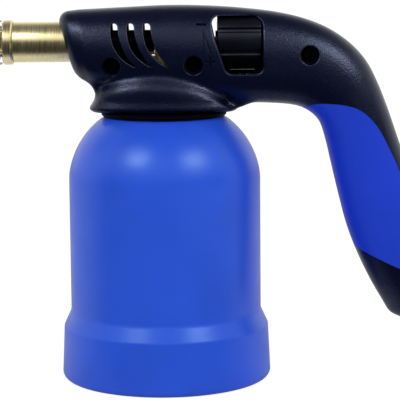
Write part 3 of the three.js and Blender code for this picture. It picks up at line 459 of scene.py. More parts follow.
# Outlines
def rounded(corners, steps=8):
    """Corners (x, y, radius) as points: a corner with a radius becomes an arc."""
    points = []
    for index, (x, y, *rest) in enumerate(corners):
        here = Vector((x, y))
        radius = rest[0] if rest else 0
        if not radius:
            points.append(here)
            continue
        back = (Vector(corners[index - 1][:2]) - here).normalized()
        ahead = (Vector(corners[(index + 1) % len(corners)][:2]) - here).normalized()
        half_angle = math.acos(max(-1, min(1, back.dot(ahead)))) / 2
        centre = here + (back + ahead).normalized() * (radius / math.sin(half_angle))
        start = here + back * (radius / math.tan(half_angle)) - centre
        end = here + ahead * (radius / math.tan(half_angle)) - centre
        sweep = math.atan2(start.x * end.y - start.y * end.x, start.dot(end))
        for step in range(steps + 1):
            points.append(centre + Matrix.Rotation(sweep * step / steps, 2) @ start)
    return points


def curved(points, steps):
    """A smooth line through the points."""
    line = []
    for index in range(len(points) - 1):
        before = points[max(index - 1, 0)]
        here, ahead = points[index], points[index + 1]
        beyond = points[min(index + 2, len(points) - 1)]
        for step in range(steps):
            t = step / steps
            line.append(tuple(
                (
                    2 * b + (c - a) * t + (2 * a - 5 * b + 4 * c - d) * t * t
                    + (3 * b - a - 3 * c + d) * t ** 3
                ) / 2
                for a, b, c, d in zip(before, here, ahead, beyond)
            ))
    return line + [tuple(points[-1])]


def bezier(start, bend, end, steps):
    """A quadratic curve without its first point."""
    return [
        start.lerp(bend, step / steps).lerp(bend.lerp(end, step / steps), step / steps)
        for step in range(1, steps + 1)
    ]


def evened(outline, spacing):
    """The closed outline with points no further apart than the spacing."""
    points = []
    for index, here in enumerate(outline):
        ahead = outline[(index + 1) % len(outline)]
        parts = max(1, math.ceil((ahead - here).length / spacing))
        points += [here.lerp(ahead, part / parts) for part in range(parts)]
    return points


def outward(points):
    """The outward direction at each point of a closed outline."""
    area = sum(a.x * b.y - b.x * a.y for a, b in zip(points, points[1:] + points[:1]))
    side = 1 if area > 0 else -1
    directions = []
    for index in range(len(points)):
        along = points[(index + 1) % len(points)] - points[index - 1]
        directions.append(Vector((along.y, -along.x)).normalized() * side)
    return directions


# Meshes
def faces_at(verts):
    """The faces that touch some vertices, each once and always in the same order."""
    return list(dict.fromkeys(face for vert in verts for face in vert.link_faces))


def spun(mesh, profile, steps, matrix=Matrix()):
    """Adds a closed profile (radius, height) turned about Z, then placed by the matrix."""
    verts = [mesh.verts.new((x, 0, y)) for x, y in profile]
    edges = [mesh.edges.new((verts[k - 1], verts[k])) for k in range(len(verts))]
    before = set(mesh.verts) - set(verts)
    bmesh.ops.spin(
        mesh, geom=verts + edges, cent=(0, 0, 0), axis=(0, 0, 1), angle=2 * math.pi, steps=steps,
        use_merge=True,
    )
    made = [vert for vert in mesh.verts if vert not in before]
    bmesh.ops.remove_doubles(mesh, verts=made, dist=1e-7)
    made = [vert for vert in mesh.verts if vert not in before]
    bmesh.ops.transform(mesh, matrix=matrix, verts=made)
    bmesh.ops.recalc_face_normals(mesh, faces=faces_at(made))


def burner_place():
    """Turns a profile's height into distance ahead on the burner's axis."""
    return Matrix.Translation((0, 0, AXIS_HEIGHT)) @ Matrix.Rotation(-math.pi / 2, 4, "Y")


def lofted(mesh, rings):
    """Adds a closed body through rings that have the same number of points."""
    turn = mesh.verts.layers.int.get("turn") or mesh.verts.layers.int.new("turn")
    first = bmesh.ops.create_circle(mesh, segments=len(rings[0]), radius=1)["verts"]
    for index, vert in enumerate(first):
        vert[turn] = index
        vert.co = rings[0][index]
    made = list(first)
    edges = list(dict.fromkeys(edge for vert in first for edge in vert.link_edges))
    bmesh.ops.edgeloop_fill(mesh, edges=edges)
    for ring in rings[1:]:
        grown = bmesh.ops.extrude_edge_only(mesh, edges=edges)["geom"]
        verts = [item for item in grown if isinstance(item, bmesh.types.BMVert)]
        fresh = set(verts)
        for vert in verts:
            vert.co = ring[vert[turn]]
        made += verts
        edges = [
            item for item in grown
            if isinstance(item, bmesh.types.BMEdge) and item.verts[0] in fresh and item.verts[1] in fresh
        ]
    bmesh.ops.edgeloop_fill(mesh, edges=edges)
    bmesh.ops.triangulate(mesh, faces=[face for face in faces_at(made) if len(face.verts) > 4])
    bmesh.ops.recalc_face_normals(mesh, faces=faces_at(made))


def rod(mesh, radius, start, end, axis, centre, sides=48):
    """Adds a closed rod along X, Y or Z from start to end."""
    turn = {
        "X": Matrix.Rotation(math.pi / 2, 4, "Y"),
        "Y": Matrix.Rotation(-math.pi / 2, 4, "X"),
        "Z": Matrix(),
    }[axis]
    middle = Vector(centre)
    middle["XYZ".index(axis)] = (start + end) / 2
    bmesh.ops.create_cone(
        mesh, cap_ends=True, segments=sides, radius1=radius, radius2=radius, depth=end - start,
        matrix=Matrix.Translation(middle) @ turn,
    )


def brick(mesh, low, high):
    """Adds a closed box between two corners."""
    low, high = Vector(low), Vector(high)
    scale = Matrix.Diagonal((*(high - low), 1))
    bmesh.ops.create_cube(mesh, size=1, matrix=Matrix.Translation((low + high) / 2) @ scale)


def eased(mesh, edges, rounding, segments):
    """Rounds edges of a mesh."""
    bmesh.ops.bevel(
        mesh, geom=edges, offset=rounding, segments=segments, profile=0.5, affect="EDGES", material=-1
    )


def smoothed(mesh, verts):
    """Smooths vertices once."""
    bmesh.ops.smooth_vert(mesh, verts=verts, factor=0.5, use_axis_x=True, use_axis_y=True, use_axis_z=True)


def mesh_object(name, mesh):
    """A scene object from a bmesh, which is freed."""
    data = bpy.data.meshes.new(name)
    mesh.to_mesh(data)
    mesh.free()
    made = bpy.data.objects.new(name, data)
    bpy.context.scene.collection.objects.link(made)
    return made


def settled(made):
    """Applies the object's modifiers to its mesh."""
    depsgraph = bpy.context.evaluated_depsgraph_get()
    data = bpy.data.meshes.new_from_object(made.evaluated_get(depsgraph))
    made.modifiers.clear()
    old = made.data
    made.data = data
    bpy.data.meshes.remove(old)
    return made


def combined(made, tools, operation):
    """Cuts, joins or intersects an object with tool meshes, which are used up."""
    helpers = [mesh_object("tool", tool) if isinstance(tool, bmesh.types.BMesh) else tool for tool in tools]
    for helper in helpers:
        step = made.modifiers.new("Boolean", "BOOLEAN")
        step.operation = operation
        step.solver = "MANIFOLD"
        step.object = helper
    settled(made)
    for helper in helpers:
        data = helper.data
        bpy.data.objects.remove(helper)
        bpy.data.meshes.remove(data)
    if not made.data.polygons:
        raise RuntimeError(f"the {operation.lower()} left nothing of {made.name}")
    return made


def duplicate(made, name):
    """A second object with its own copy of the mesh."""
    twin = bpy.data.objects.new(name, made.data.copy())
    bpy.context.scene.collection.objects.link(twin)
    return twin


def hand_over(made, body, slot, replaced=(), sharp=35):
    """Gives a finished piece its shading, material and body."""
    data = made.data
    data.polygons.foreach_set("use_smooth", [True] * len(data.polygons))
    data.set_sharp_from_angle(angle=math.radians(sharp))
    data.materials.clear()
    data.materials.append(material_of(slot))
    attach(made, body)
    if replaced:
        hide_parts(*replaced)


# Materials
class Nodes:
    """A material's node tree with short calls for the nodes that every finish uses"""

    def __init__(self, name):
        self.material = bpy.data.materials.new(name)
        self.material.use_nodes = True
        self.tree = self.material.node_tree
        self.shader = self.tree.nodes["Principled BSDF"]
        self.place = self.add("ShaderNodeTexCoord").outputs["Object"]

    def add(self, kind):
        """A new node."""
        return self.tree.nodes.new(kind)

    def link(self, source, target):
        """A link between two sockets."""
        self.tree.links.new(source, target)

    def noise(self, size, detail=2.0, stretch=(1, 1, 1)):
        """Noise whose grains have about this size, in metres."""
        mapping = self.add("ShaderNodeMapping")
        mapping.inputs["Scale"].default_value = [value / size for value in stretch]
        self.link(self.place, mapping.inputs["Vector"])
        texture = self.add("ShaderNodeTexNoise")
        texture.inputs["Scale"].default_value = 1.0
        texture.inputs["Detail"].default_value = detail
        self.link(mapping.outputs["Vector"], texture.inputs["Vector"])
        return texture.outputs["Fac"]

    def spread(self, source, low, high, start=0.3, end=0.7):
        """The source's range from start to end, as low to high."""
        node = self.add("ShaderNodeMapRange")
        for key, value in (("From Min", start), ("From Max", end), ("To Min", low), ("To Max", high)):
            node.inputs[key].default_value = value
        self.link(source, node.inputs["Value"])
        return node.outputs["Result"]

    def mixed(self, factor, first, second):
        """A colour between two by a factor."""
        node = self.add("ShaderNodeMix")
        node.data_type = "RGBA"
        self.link(factor, node.inputs["Factor"])
        node.inputs[6].default_value = (*first, 1)
        node.inputs[7].default_value = (*second, 1)
        return node.outputs[2]

    def bump(self, height, distance, under=None):
        """A bump over another one."""
        node = self.add("ShaderNodeBump")
        node.inputs["Strength"].default_value = 1.0
        node.inputs["Distance"].default_value = distance
        self.link(height, node.inputs["Height"])
        if under is not None:
            self.link(under, node.inputs["Normal"])
        return node.outputs["Normal"]

    def plug(self, **sources):
        """Links sources to the shader's sockets, named with underscores."""
        for key, source in sources.items():
            self.link(source, self.shader.inputs[key.replace("_", " ")])


def scaled(value, factor):
    """A colour made lighter or darker."""
    return tuple(min(1.0, channel * factor) for channel in value)


def moulded(name, base, roughness, grain, depth, specular, tint):
    """Injection-moulded plastic: spark-eroded grain with a coarser swell under it, and faint flow shades."""
    nodes = Nodes(name)
    flow = nodes.spread(nodes.noise(0.03, 3.0), 0.0, 1.0)
    nodes.plug(Base_Color=nodes.mixed(flow, scaled(base, 0.93), scaled(base, 1.07)))
    patches = nodes.noise(0.012, 4.0)
    nodes.plug(Roughness=nodes.spread(patches, roughness - 0.03, roughness + 0.03))
    fine = nodes.bump(nodes.noise(grain, 3.0), depth)
    nodes.plug(Normal=nodes.bump(nodes.noise(grain * 6, 2.0), depth * 0.8, under=fine))
    nodes.shader.inputs["Specular IOR Level"].default_value = specular
    nodes.shader.inputs["Specular Tint"].default_value = (*tint, 1)
    return nodes.material


def turned_metal(name, base, roughness, stain):
    """Turned or drawn metal: fine lines round the burner's axis, and patches darkened by a stain."""
    nodes = Nodes(name)
    rings = nodes.noise(0.00035, 4.0, stretch=(1.0, 0.02, 0.02))
    patches = nodes.spread(nodes.noise(0.01, 4.0), 0.0, 1.0, start=0.35, end=0.75)
    nodes.plug(Base_Color=nodes.mixed(patches, base, scaled(base, stain)))
    nodes.plug(Roughness=nodes.spread(rings, roughness - 0.05, roughness + 0.07))
    nodes.plug(Normal=nodes.bump(rings, 0.000004))
    nodes.shader.inputs["Metallic"].default_value = 1.0
    return nodes.material


def soft_rubber(name, base):
    """Matt rubber with dusty patches."""
    nodes = Nodes(name)
    dust = nodes.spread(nodes.noise(0.004, 5.0), 0.0, 1.0, start=0.4, end=0.8)
    nodes.plug(Base_Color=nodes.mixed(dust, base, scaled(base, 2.2)))
    nodes.plug(Roughness=nodes.spread(nodes.noise(0.002, 3.0), 0.75, 0.92))
    nodes.plug(Normal=nodes.bump(nodes.noise(0.0004, 3.0), 0.00003))
    return nodes.material


def lacquered(name, base):
    """Lacquered sheet steel of the cartridge."""
    nodes = Nodes(name)
    mottle = nodes.spread(nodes.noise(0.006, 4.0), 0.0, 1.0)
    nodes.plug(Base_Color=nodes.mixed(mottle, scaled(base, 0.94), scaled(base, 1.05)))
    nodes.plug(Roughness=nodes.spread(nodes.noise(0.003, 3.0), 0.25, 0.38))
    nodes.plug(Normal=nodes.bump(nodes.noise(0.0015, 2.0), 0.000012))
    nodes.shader.inputs["Metallic"].default_value = 0.35
    nodes.shader.inputs["Coat Weight"].default_value = 0.3
    return nodes.material


def material_of(slot):
    """The material of a record's slot, made once."""
    name = f"finish_{slot}"
    if name in bpy.data.materials:
        return bpy.data.materials[name]
    paint = bpy.context.scene.blowlamp_finishes
    makers = {
        "bell_blue": lambda: moulded(
            name, paint.bell, roughness=0.33, grain=0.0007, depth=0.000012,
            specular=0.5, tint=(0.62, 0.95, 1),
        ),
        "grip_blue": lambda: moulded(
            name, paint.grip, roughness=0.45, grain=0.0006, depth=0.00003,
            specular=0.3, tint=(0.62, 0.95, 1),
        ),
        "housing_black": lambda: moulded(
            name, paint.housing, roughness=0.28, grain=0.0008, depth=0.00013,
            specular=0.5, tint=(0.58, 0.68, 1),
        ),
        "collar_black": lambda: moulded(
            name, paint.black, roughness=0.5, grain=0.0006, depth=0.00002,
            specular=0.02, tint=(1, 1, 1),
        ),
        "knob_black": lambda: moulded(
            name, paint.black, roughness=0.32, grain=0.0005, depth=0.00006,
            specular=0.4, tint=(0.75, 0.8, 1),
        ),
        "brass": lambda: turned_metal(name, paint.brass, roughness=0.29, stain=0.9),
        "steel": lambda: turned_metal(name, paint.steel, roughness=0.25, stain=0.85),
        "dark_steel": lambda: turned_metal(name, paint.dark_steel, roughness=0.4, stain=0.7),
        "can_steel": lambda: lacquered(name, paint.can),
        "rubber": lambda: soft_rubber(name, paint.rubber),
    }
    return makers[slot]()


# Bell and what it holds
def dome_points(bell, inset, steps=28):
    """The dome's outline from the wall up to the crown, drawn in by the wall."""
    width = bell.radius - inset - bell.crown_radius
    rise = bell.dome_rise - inset
    start = BELL_HEIGHT - bell.dome_depth
    points = []
    for step in range(steps + 1):
        angle = math.pi / 2 * step / steps
        radius = bell.crown_radius + width * max(math.cos(angle), 0) ** (2 / bell.dome_power)
        height = start + rise * math.sin(angle) ** (2 / bell.dome_power)
        points.append((radius, height))
    return [(r, z) for r, z in points if z < BELL_HEIGHT - inset and r > bell.neck_hole + bell.neck_wall]


def dome_radius(bell, height, inset):
    """Radius of the dome at a height."""
    up = max((height - BELL_HEIGHT + bell.dome_depth) / (bell.dome_rise - inset), 0)
    across = max(1 - up ** bell.dome_power, 0) ** (1 / bell.dome_power)
    return bell.crown_radius + (bell.radius - inset - bell.crown_radius) * across


class BLOWLAMP_OT_bell(Operator):
    """Turn the bell with its dome, shoulder, skirt and neck"""

    bl_idname = "blowlamp.bell"
    bl_label = "Bell"

    def execute(self, context):
        bell = context.scene.blowlamp_bell
        inner = bell.radius - bell.wall
        under = BELL_HEIGHT - bell.wall
        profile = rounded([
            (bell.skirt_bore, 0, 0.8 * MM),
            (bell.skirt_foot, 0, bell.foot_rounding),
            (bell.skirt_top, bell.skirt_height, bell.shoulder_rounding),
            (bell.radius, bell.skirt_height + bell.shoulder_height, bell.waist_rounding),
            *dome_points(bell, 0),
            (dome_radius(bell, BELL_HEIGHT, 0), BELL_HEIGHT, 0.5 * MM),
            (bell.neck_hole, BELL_HEIGHT, 0.5 * MM),
            (bell.neck_hole, BELL_HEIGHT - bell.neck_depth),
            (bell.neck_hole + bell.neck_wall, BELL_HEIGHT - bell.neck_depth),
            (bell.neck_hole + bell.neck_wall, under, 0.5 * MM),
            (dome_radius(bell, under, bell.wall), under),
            *reversed(dome_points(bell, bell.wall)),
            (inner, bell.bore_depth + bell.skirt_bore - inner),
            (bell.skirt_bore, bell.bore_depth),
        ])
        mesh = bmesh.new()
        spun(mesh, profile, bell.steps)
        hand_over(mesh_object("moulded_bell", mesh), "bell_body", "bell_blue", ["bell"])
        return {"FINISHED"}


def thread(mesh, radius, start, end, pitch, depth, steps=48, matrix=Matrix()):
    """Adds a raised right-handed thread round Z, outward of the radius, or inward for a negative depth."""
    turns = (end - start) / pitch
    half = pitch * 0.38
    crest = half * 0.35
    corners = [(radius, -half), (radius + depth, -crest), (radius + depth, crest), (radius, half)]
    low = start + half
    sunk = radius - math.copysign(0.1 * MM, depth)
    rings = []
    total = max(int(turns * steps), 8)
    run_out = 10
    for step in range(total + 1):
        fade = min(1.0, step / run_out, (total - step) / run_out)
        angle = 2 * math.pi * step / steps
        height = low + (end - start - 2 * half) * step / total
        ring = []
        for r, z in corners:
            reach = sunk + (r - sunk) * max(fade, 0.02)
            ring.append(Vector((reach * math.cos(angle), reach * math.sin(angle), height + z)))
        rings.append([matrix @ point for point in ring])
    lofted(mesh, rings)


class BLOWLAMP_OT_base(Operator):
    """Turn the base cap with its grip bar"""

    bl_idname = "blowlamp.base"
    bl_label = "Base"

    def execute(self, context):
        base = context.scene.blowlamp_base
        rim, _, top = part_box("base_cap")[1]
        inner = rim - base.wall
        pad_low, pad_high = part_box("cartridge_pad")
        seat = pad_low.z - GAP
        profile = rounded([
            (0, base.disc),
            (inner, base.disc, 1.2 * MM),
            (inner, base.rim_foot, 0.5 * MM),
            (rim, base.rim_foot, 0.6 * MM),
            (rim, top, 0.5 * MM),
            (inner, top, 0.5 * MM),
            (inner, base.disc_top, 0.8 * MM),
            (pad_high.x + GAP, base.disc_top, 0.3 * MM),
            (pad_high.x + GAP, seat),
            (base.pad_bore - GAP, seat),
            (base.pad_bore - GAP, base.disc_top, 0.3 * MM),
            (0, base.disc_top),
        ], 4)
        mesh = bmesh.new()
        spun(mesh, profile, base.steps)
        made = mesh_object("moulded_base_cap", mesh)
        bar = bmesh.new()
        brick(bar, (-base.bar_reach, -base.bar_half, 0), (base.bar_reach, base.bar_half, base.bar_top))
        edges = [edge for edge in bar.edges if min(vert.co.z for vert in edge.verts) < base.disc]
        eased(bar, edges, base.bar_rounding, 4)
        pockets = bmesh.new()
        for index in range(base.pockets):
            x = (index - (base.pockets - 1) / 2) * base.pocket_pitch
            brick(
                pockets, (x - base.pocket_reach, -base.pocket_half, -1 * MM),
                (x + base.pocket_reach, base.pocket_half, base.pocket_depth),
            )
        bar_object = combined(mesh_object("grip_bar", bar), [pockets], "DIFFERENCE")
        combined(made, [bar_object], "UNION")
        hand_over(made, "base_body", "bell_blue", ["base_cap"])
        return {"FINISHED"}


class BLOWLAMP_OT_neck(Operator):
    """Turn the black neck collar with its thread, and the threaded bush in the bell"""

    bl_idname = "blowlamp.neck"
    bl_label = "Neck"

    def execute(self, context):
        neck = context.scene.blowlamp_neck
        low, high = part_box("neck_collar")
        seat = BELL_HEIGHT + GAP
        waist = neck.crest - neck.undercut
        profile = rounded([
            (neck.bore, low.z, 0.3 * MM),
            (neck.root, low.z, 0.8 * MM),
            (neck.root, seat - 1.2 * MM, 0.3 * MM),
            (waist, seat - 0.6 * MM, 0.2 * MM),
            (waist, seat),
            (high.x, seat, 0.8 * MM),
            (high.x, high.z, 0.5 * MM),
            (neck.bore, high.z, 0.3 * MM),
        ], 4)
        mesh = bmesh.new()
        spun(mesh, profile, neck.steps)
        thread(mesh, neck.root, low.z + 0.6 * MM, seat - 1.4 * MM, neck.pitch, neck.crest - neck.root)
        hand_over(mesh_object("turned_collar", mesh), "head_body", "collar_black", ["neck_collar"])
        low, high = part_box("neck_bush")
        root = neck.bush_bore + neck.bush_thread
        ledge = BELL_HEIGHT - neck.bush_ledge
        profile = rounded([
            (root, low.z, 0.3 * MM),
            (high.x, low.z, 0.4 * MM),
            (high.x, ledge, 0.4 * MM),
            (neck.bush_radius, ledge),
            (neck.bush_radius, high.z, 0.4 * MM),
            (root, high.z, 0.4 * MM),
        ], 4)
        mesh = bmesh.new()
        spun(mesh, profile, neck.steps)
        thread(mesh, root, low.z + 0.4 * MM, high.z - 0.4 * MM, neck.pitch, -neck.bush_thread)
        hand_over(mesh_object("turned_bush", mesh), "bell_body", "steel", ["neck_bush"])
        return {"FINISHED"}


# Burner
class BLOWLAMP_OT_burner(Operator):
    """Turn the mixing tube, brass burner tube, burner neck, flame holder and flame sleeve"""

    bl_idname = "blowlamp.burner"
    bl_label = "Burner"

    def turned(self, name, corners, slot, node, cutters=(), steps=96):
        """One turned burner piece, its outline given as radius, distance ahead and rounding."""
        mesh = bmesh.new()
        spun(mesh, rounded(corners, 4), steps, burner_place())
        made = mesh_object(name, mesh)
        if cutters:
            combined(made, cutters, "DIFFERENCE")
        hand_over(made, "head_body", slot, [node], 30)

    def execute(self, context):
        burner = context.scene.blowlamp_burner
        self.mixing_tube(burner)
        self.burner_tube(burner)
        self.burner_neck(burner)
        self.flame_parts(burner)
        return {"FINISHED"}

    def mixing_tube(self, burner):
        """Near-black steel tube with its air ports and the flare that meets the burner tube."""
        bore = burner.mixer_radius - burner.wall
        flare = burner.tube_radius - burner.wall - GAP
        rise = flare - burner.mixer_radius
        ports = []
        for index in range(burner.ports):
            drill = bmesh.new()
            rod(drill, burner.mixer_port, 0, burner.mixer_radius * 2, "Z", (0, 0, 0), 24)
            turn = Matrix.Rotation(2 * math.pi * (index + 0.5) / burner.ports, 4, "X")
            place = Matrix.Translation((-burner.mixer_start - burner.port_place, 0, AXIS_HEIGHT))
            bmesh.ops.transform(drill, matrix=place @ turn, verts=drill.verts[:])
            ports.append(drill)
        self.turned("drawn_mixing_tube", [
            (bore, burner.mixer_start, 0.2 * MM),
            (burner.mixer_radius, burner.mixer_start, 0.2 * MM),
            (burner.mixer_radius, burner.mixer_end, 1.0 * MM),
            (flare, burner.mixer_end + rise, 1.0 * MM),
            (flare, burner.mixer_end + burner.mixer_flare, 0.2 * MM),
            (flare - burner.wall, burner.mixer_end + burner.mixer_flare, 0.2 * MM),
            (flare - burner.wall, burner.mixer_end + rise + burner.wall / 2, 1.0 * MM),
            (bore, burner.mixer_end + burner.wall / 2, 1.0 * MM),
        ], "dark_steel", "mixing_tube", ports)

    def burner_tube(self, burner):
        """Drawn brass tube with eased ends."""
        bore = burner.tube_radius - burner.wall
        self.turned("drawn_burner_tube", [
            (bore, burner.tube_start, 0.2 * MM),
            (burner.tube_radius, burner.tube_start, 0.3 * MM),
            (burner.tube_radius, burner.tube_end, 0.3 * MM),
            (bore, burner.tube_end, 0.2 * MM),
        ], "brass", "burner_tube", steps=128)

    def burner_neck(self, burner):
        """Turned brass neck: spigot, ring, neck and the flame holder's seat."""
        face = burner.tube_end + GAP
        end = face + burner.ring_length
        spigot = burner.tube_radius - burner.wall - GAP
        holder = end + burner.neck_length
        seat_end = holder + burner.holder_thickness + 0.6 * MM
        chamfer = burner.ring_chamfer
        self.turned("turned_burner_neck", [
            (burner.neck_bore, face - burner.spigot, 0.2 * MM),
            (spigot, face - burner.spigot, 0.5 * MM),
            (spigot, face),
            (burner.ring_radius - chamfer, face, 0.15 * MM),
            (burner.ring_radius, face + chamfer, 0.15 * MM),
            (burner.ring_radius, end - chamfer, 0.15 * MM),
            (burner.ring_radius - chamfer, end, 0.15 * MM),
            (burner.neck_radius, end, 0.8 * MM),
            (burner.neck_radius, holder, 0.2 * MM),
            (burner.holder_seat, holder, 0.2 * MM),
            (burner.holder_seat, seat_end, 0.4 * MM),
            (burner.neck_bore, seat_end, 0.3 * MM),
        ], "brass", "burner_neck", steps=128)

    def flame_parts(self, burner):
        """Drilled flame holder and the notched steel sleeve round it."""
        end = burner.tube_end + GAP + burner.ring_length
        rear = end + burner.neck_length + GAP
        rim = burner.sleeve_radius - burner.sleeve_wall - GAP
        seat = burner.holder_seat + GAP
        circle = (seat + rim) / 2
        behind = -rear - burner.holder_thickness * 2
        drills = []
        for index in range(burner.holder_holes):
            angle = 2 * math.pi * (index + 0.5) / burner.holder_holes
            drill = bmesh.new()
            centre = (0, circle * math.cos(angle), AXIS_HEIGHT + circle * math.sin(angle))
            rod(drill, burner.holder_hole, behind, -rear + 2 * MM, "X", centre, 16)
            drills.append(drill)
        self.turned("drilled_flame_holder", [
            (seat, rear, 0.2 * MM),
            (rim, rear, 0.4 * MM),
            (rim, rear + burner.holder_thickness, 0.4 * MM),
            (seat, rear + burner.holder_thickness, 0.2 * MM),
        ], "brass", "flame_holder", drills)
        start = end + burner.sleeve_gap
        bore = burner.sleeve_radius - burner.sleeve_wall
        notches = []
        for index in range(burner.notches):
            notch = bmesh.new()
            half = burner.notch_width / 2
            depth, reach = burner.notch_depth, 2 * burner.sleeve_radius
            brick(notch, (-depth, -reach, -half), (depth, 0, half))
            edges = [
                edge for edge in notch.edges
                if all(vert.co.x < 0 for vert in edge.verts)
                and abs(edge.verts[0].co.y - edge.verts[1].co.y) > burner.sleeve_radius
            ]
            eased(notch, edges, burner.notch_rounding, 5)
            turn = Matrix.Rotation(2 * math.pi * index / burner.notches, 4, "X")
            place = Matrix.Translation((-start, 0, AXIS_HEIGHT))
            bmesh.ops.transform(notch, matrix=place @ turn, verts=notch.verts[:])
            notches.append(notch)
        mouth = start + burner.sleeve_length
        groove = mouth - burner.groove_place
        half = burner.groove_width / 2
        self.turned("notched_flame_sleeve", [
            (bore, start, 0.15 * MM),
            (burner.sleeve_radius, start, 0.2 * MM),
            (burner.sleeve_radius, groove - half, 0.5 * MM),
            (burner.sleeve_radius - burner.groove_depth, groove, 0.5 * MM),
            (burner.sleeve_radius, groove + half, 0.5 * MM),
            (burner.sleeve_radius, mouth, 0.2 * MM),
            (bore, mouth, 0.15 * MM),
            (bore, groove + half, 0.5 * MM),
            (bore - burner.groove_depth, groove, 0.5 * MM),
            (bore, groove - half, 0.5 * MM),
        ], "steel", "flame_sleeve", notches, steps=144)


# Knob
class BLOWLAMP_OT_knob(Operator):
    """Mould the lobed control knob"""

    bl_idname = "blowlamp.knob"
    bl_label = "Knob"

    def execute(self, context):
        knob = context.scene.blowlamp_knob
        mesh = bmesh.new()
        ring = bmesh.ops.create_circle(mesh, segments=knob.steps, radius=1, cap_ends=True)["verts"]
        for vert in ring:
            angle = math.atan2(vert.co.y, vert.co.x)
            reach = self.radius_at(knob, angle)
            vert.co = (knob.start, -math.cos(angle) * reach, AXIS_HEIGHT + math.sin(angle) * reach)
        end = bmesh.ops.extrude_face_region(mesh, geom=mesh.faces[:])["geom"]
        moved = [item for item in end if isinstance(item, bmesh.types.BMVert)]
        bmesh.ops.translate(mesh, verts=moved, vec=(knob.length, 0, 0))
        bmesh.ops.recalc_face_normals(mesh, faces=mesh.faces[:])
        rims = [edge for edge in mesh.edges if abs(edge.verts[0].co.x - edge.verts[1].co.x) < 1e-6]
        eased(mesh, rims, knob.edge, 4)
        made = mesh_object("moulded_knob", mesh)
        axis = (0, 0, AXIS_HEIGHT)
        face = knob.start + knob.length
        hub = bmesh.new()
        rod(hub, knob.hub_radius, knob.start - knob.hub_length, knob.start + knob.hub_length, "X", axis)
        bore = bmesh.new()
        rod(bore, knob.bore, knob.start - knob.hub_length * 2, knob.start + knob.bore_depth, "X", axis)
        shank = bmesh.new()
        rod(shank, knob.screw_hole, knob.start, face, "X", axis)
        recess = bmesh.new()
        rod(recess, knob.recess_radius, face - knob.recess_depth, face + 3 * MM, "X", axis)
        combined(made, [hub], "UNION")
        combined(made, [bore, shank, recess], "DIFFERENCE")
        hand_over(made, "knob_body", "knob_black", ["control_knob"], 28)
        return {"FINISHED"}

    def radius_at(self, knob, angle):
        """Radius of the lobed drum at an angle, with soft groove floors and edges."""
        pitch = 360 / knob.lobes
        flat, slope = 0.4, 0.5
        away = (math.degrees(angle) - knob.phase + pitch / 2) % pitch - pitch / 2
        across = min(abs(away) / knob.groove_angle, 1.0)
        rise = min(max((across - flat) / slope, 0), 1)
        return knob.radius - knob.groove_depth * (1 - rise * rise * (3 - 2 * rise))


# Housing
def place_of(head, along, up):
    """A place on the head's side from its shares."""
    return Vector((
        along * (head.nose_reach if along < 0 else head.handle_reach),
        0,
        AXIS_HEIGHT + up * (head.crown_rise if up > 0 else head.handle_drop),
    ))


def section_ring(head, row, inset, sides, drawn=0.0, shift=Vector()):
    """One ring of the head's cross-section."""
    top, bottom, width = Vector(row[0:3]), Vector(row[3:6]), row[6]
    across = top - bottom
    up = across.normalized()
    # The flanks sag where the section stands upright, and no longer in the leaning handle.
    sag = head.section_sag * max(up.z, 0) ** 4
    half = max(across.length / 2 - inset, inset) - drawn
    half_width = max(width / 2 - inset, inset) - drawn
    centre = (top + bottom) / 2 + shift
    power = 2 / head.section_power
    ring = []
    for k in range(sides):
        angle = 2 * math.pi * k / sides
        c, s = math.cos(angle), math.sin(angle)
        rise = half * math.copysign(abs(c) ** power, c) - sag * s * s
        out = half_width * math.copysign(abs(s) ** power, s)
        ring.append(centre + up * rise + Vector((0, out, 0)))
    return ring


def body_rings(head, inset, handle_inset, sides=64, steps=5):
    """Rings of the whole head and handle, drawn in by two insets."""
    rows = []
    for top_x, top_z, bottom_x, bottom_z, width in SECTION_SHARES:
        rows.append((*place_of(head, top_x, top_z), *place_of(head, bottom_x, bottom_z), head.width * width))
    fine = curved(rows, steps)
    middle = [(Vector(row[0:3]) + Vector(row[3:6])) / 2 for row in fine]
    forward = (middle[1] - middle[0]).normalized()
    back = (middle[-2] - middle[-1]).normalized()
    rounding = max(head.nose_rounding - inset, 0)
    arcs = 8 if rounding else 1
    rings = []
    for step in range(arcs):
        angle = math.pi / 2 * step / arcs
        shift = forward * (inset + rounding * (1 - math.cos(angle)))
        rings.append(section_ring(head, fine[0], inset, sides, rounding * (1 - math.sin(angle)), shift))
    # Rings that lie inside the rounded nose are left out.
    start = inset + rounding
    for index, row in enumerate(fine[:-1]):
        if (middle[index] - middle[0]).dot(forward) > start or index > steps:
            amount = handle_inset if index >= HANDLE_SECTION * steps else inset
            near = (index - (HANDLE_SECTION - 1) * steps) / steps
            if 0 < near < 1:
                amount = inset + (handle_inset - inset) * near
            rings.append(section_ring(head, row, amount, sides))
    if handle_inset:
        rings.append(section_ring(head, fine[-1], handle_inset, sides, 0, back * handle_inset))
        return rings
    arcs = 4
    for step in range(1, arcs + 1):
        angle = math.pi / 2 * step / arcs
        drawn = head.end_rounding * (1 - math.cos(angle))
        shift = back * (head.end_rounding * (1 - math.sin(angle)))
        rings.append(section_ring(head, fine[-1], 0, sides, drawn, shift))
    return rings


def arch_height(head, x):
    """Height of the pod's arched ridge."""
    bend = head.arch_nose_radius if x < head.arch_centre else head.arch_radius
    drop = bend - math.sqrt(bend ** 2 - (x - head.arch_centre) ** 2)
    return BELL_HEIGHT + head.arch_rise - drop


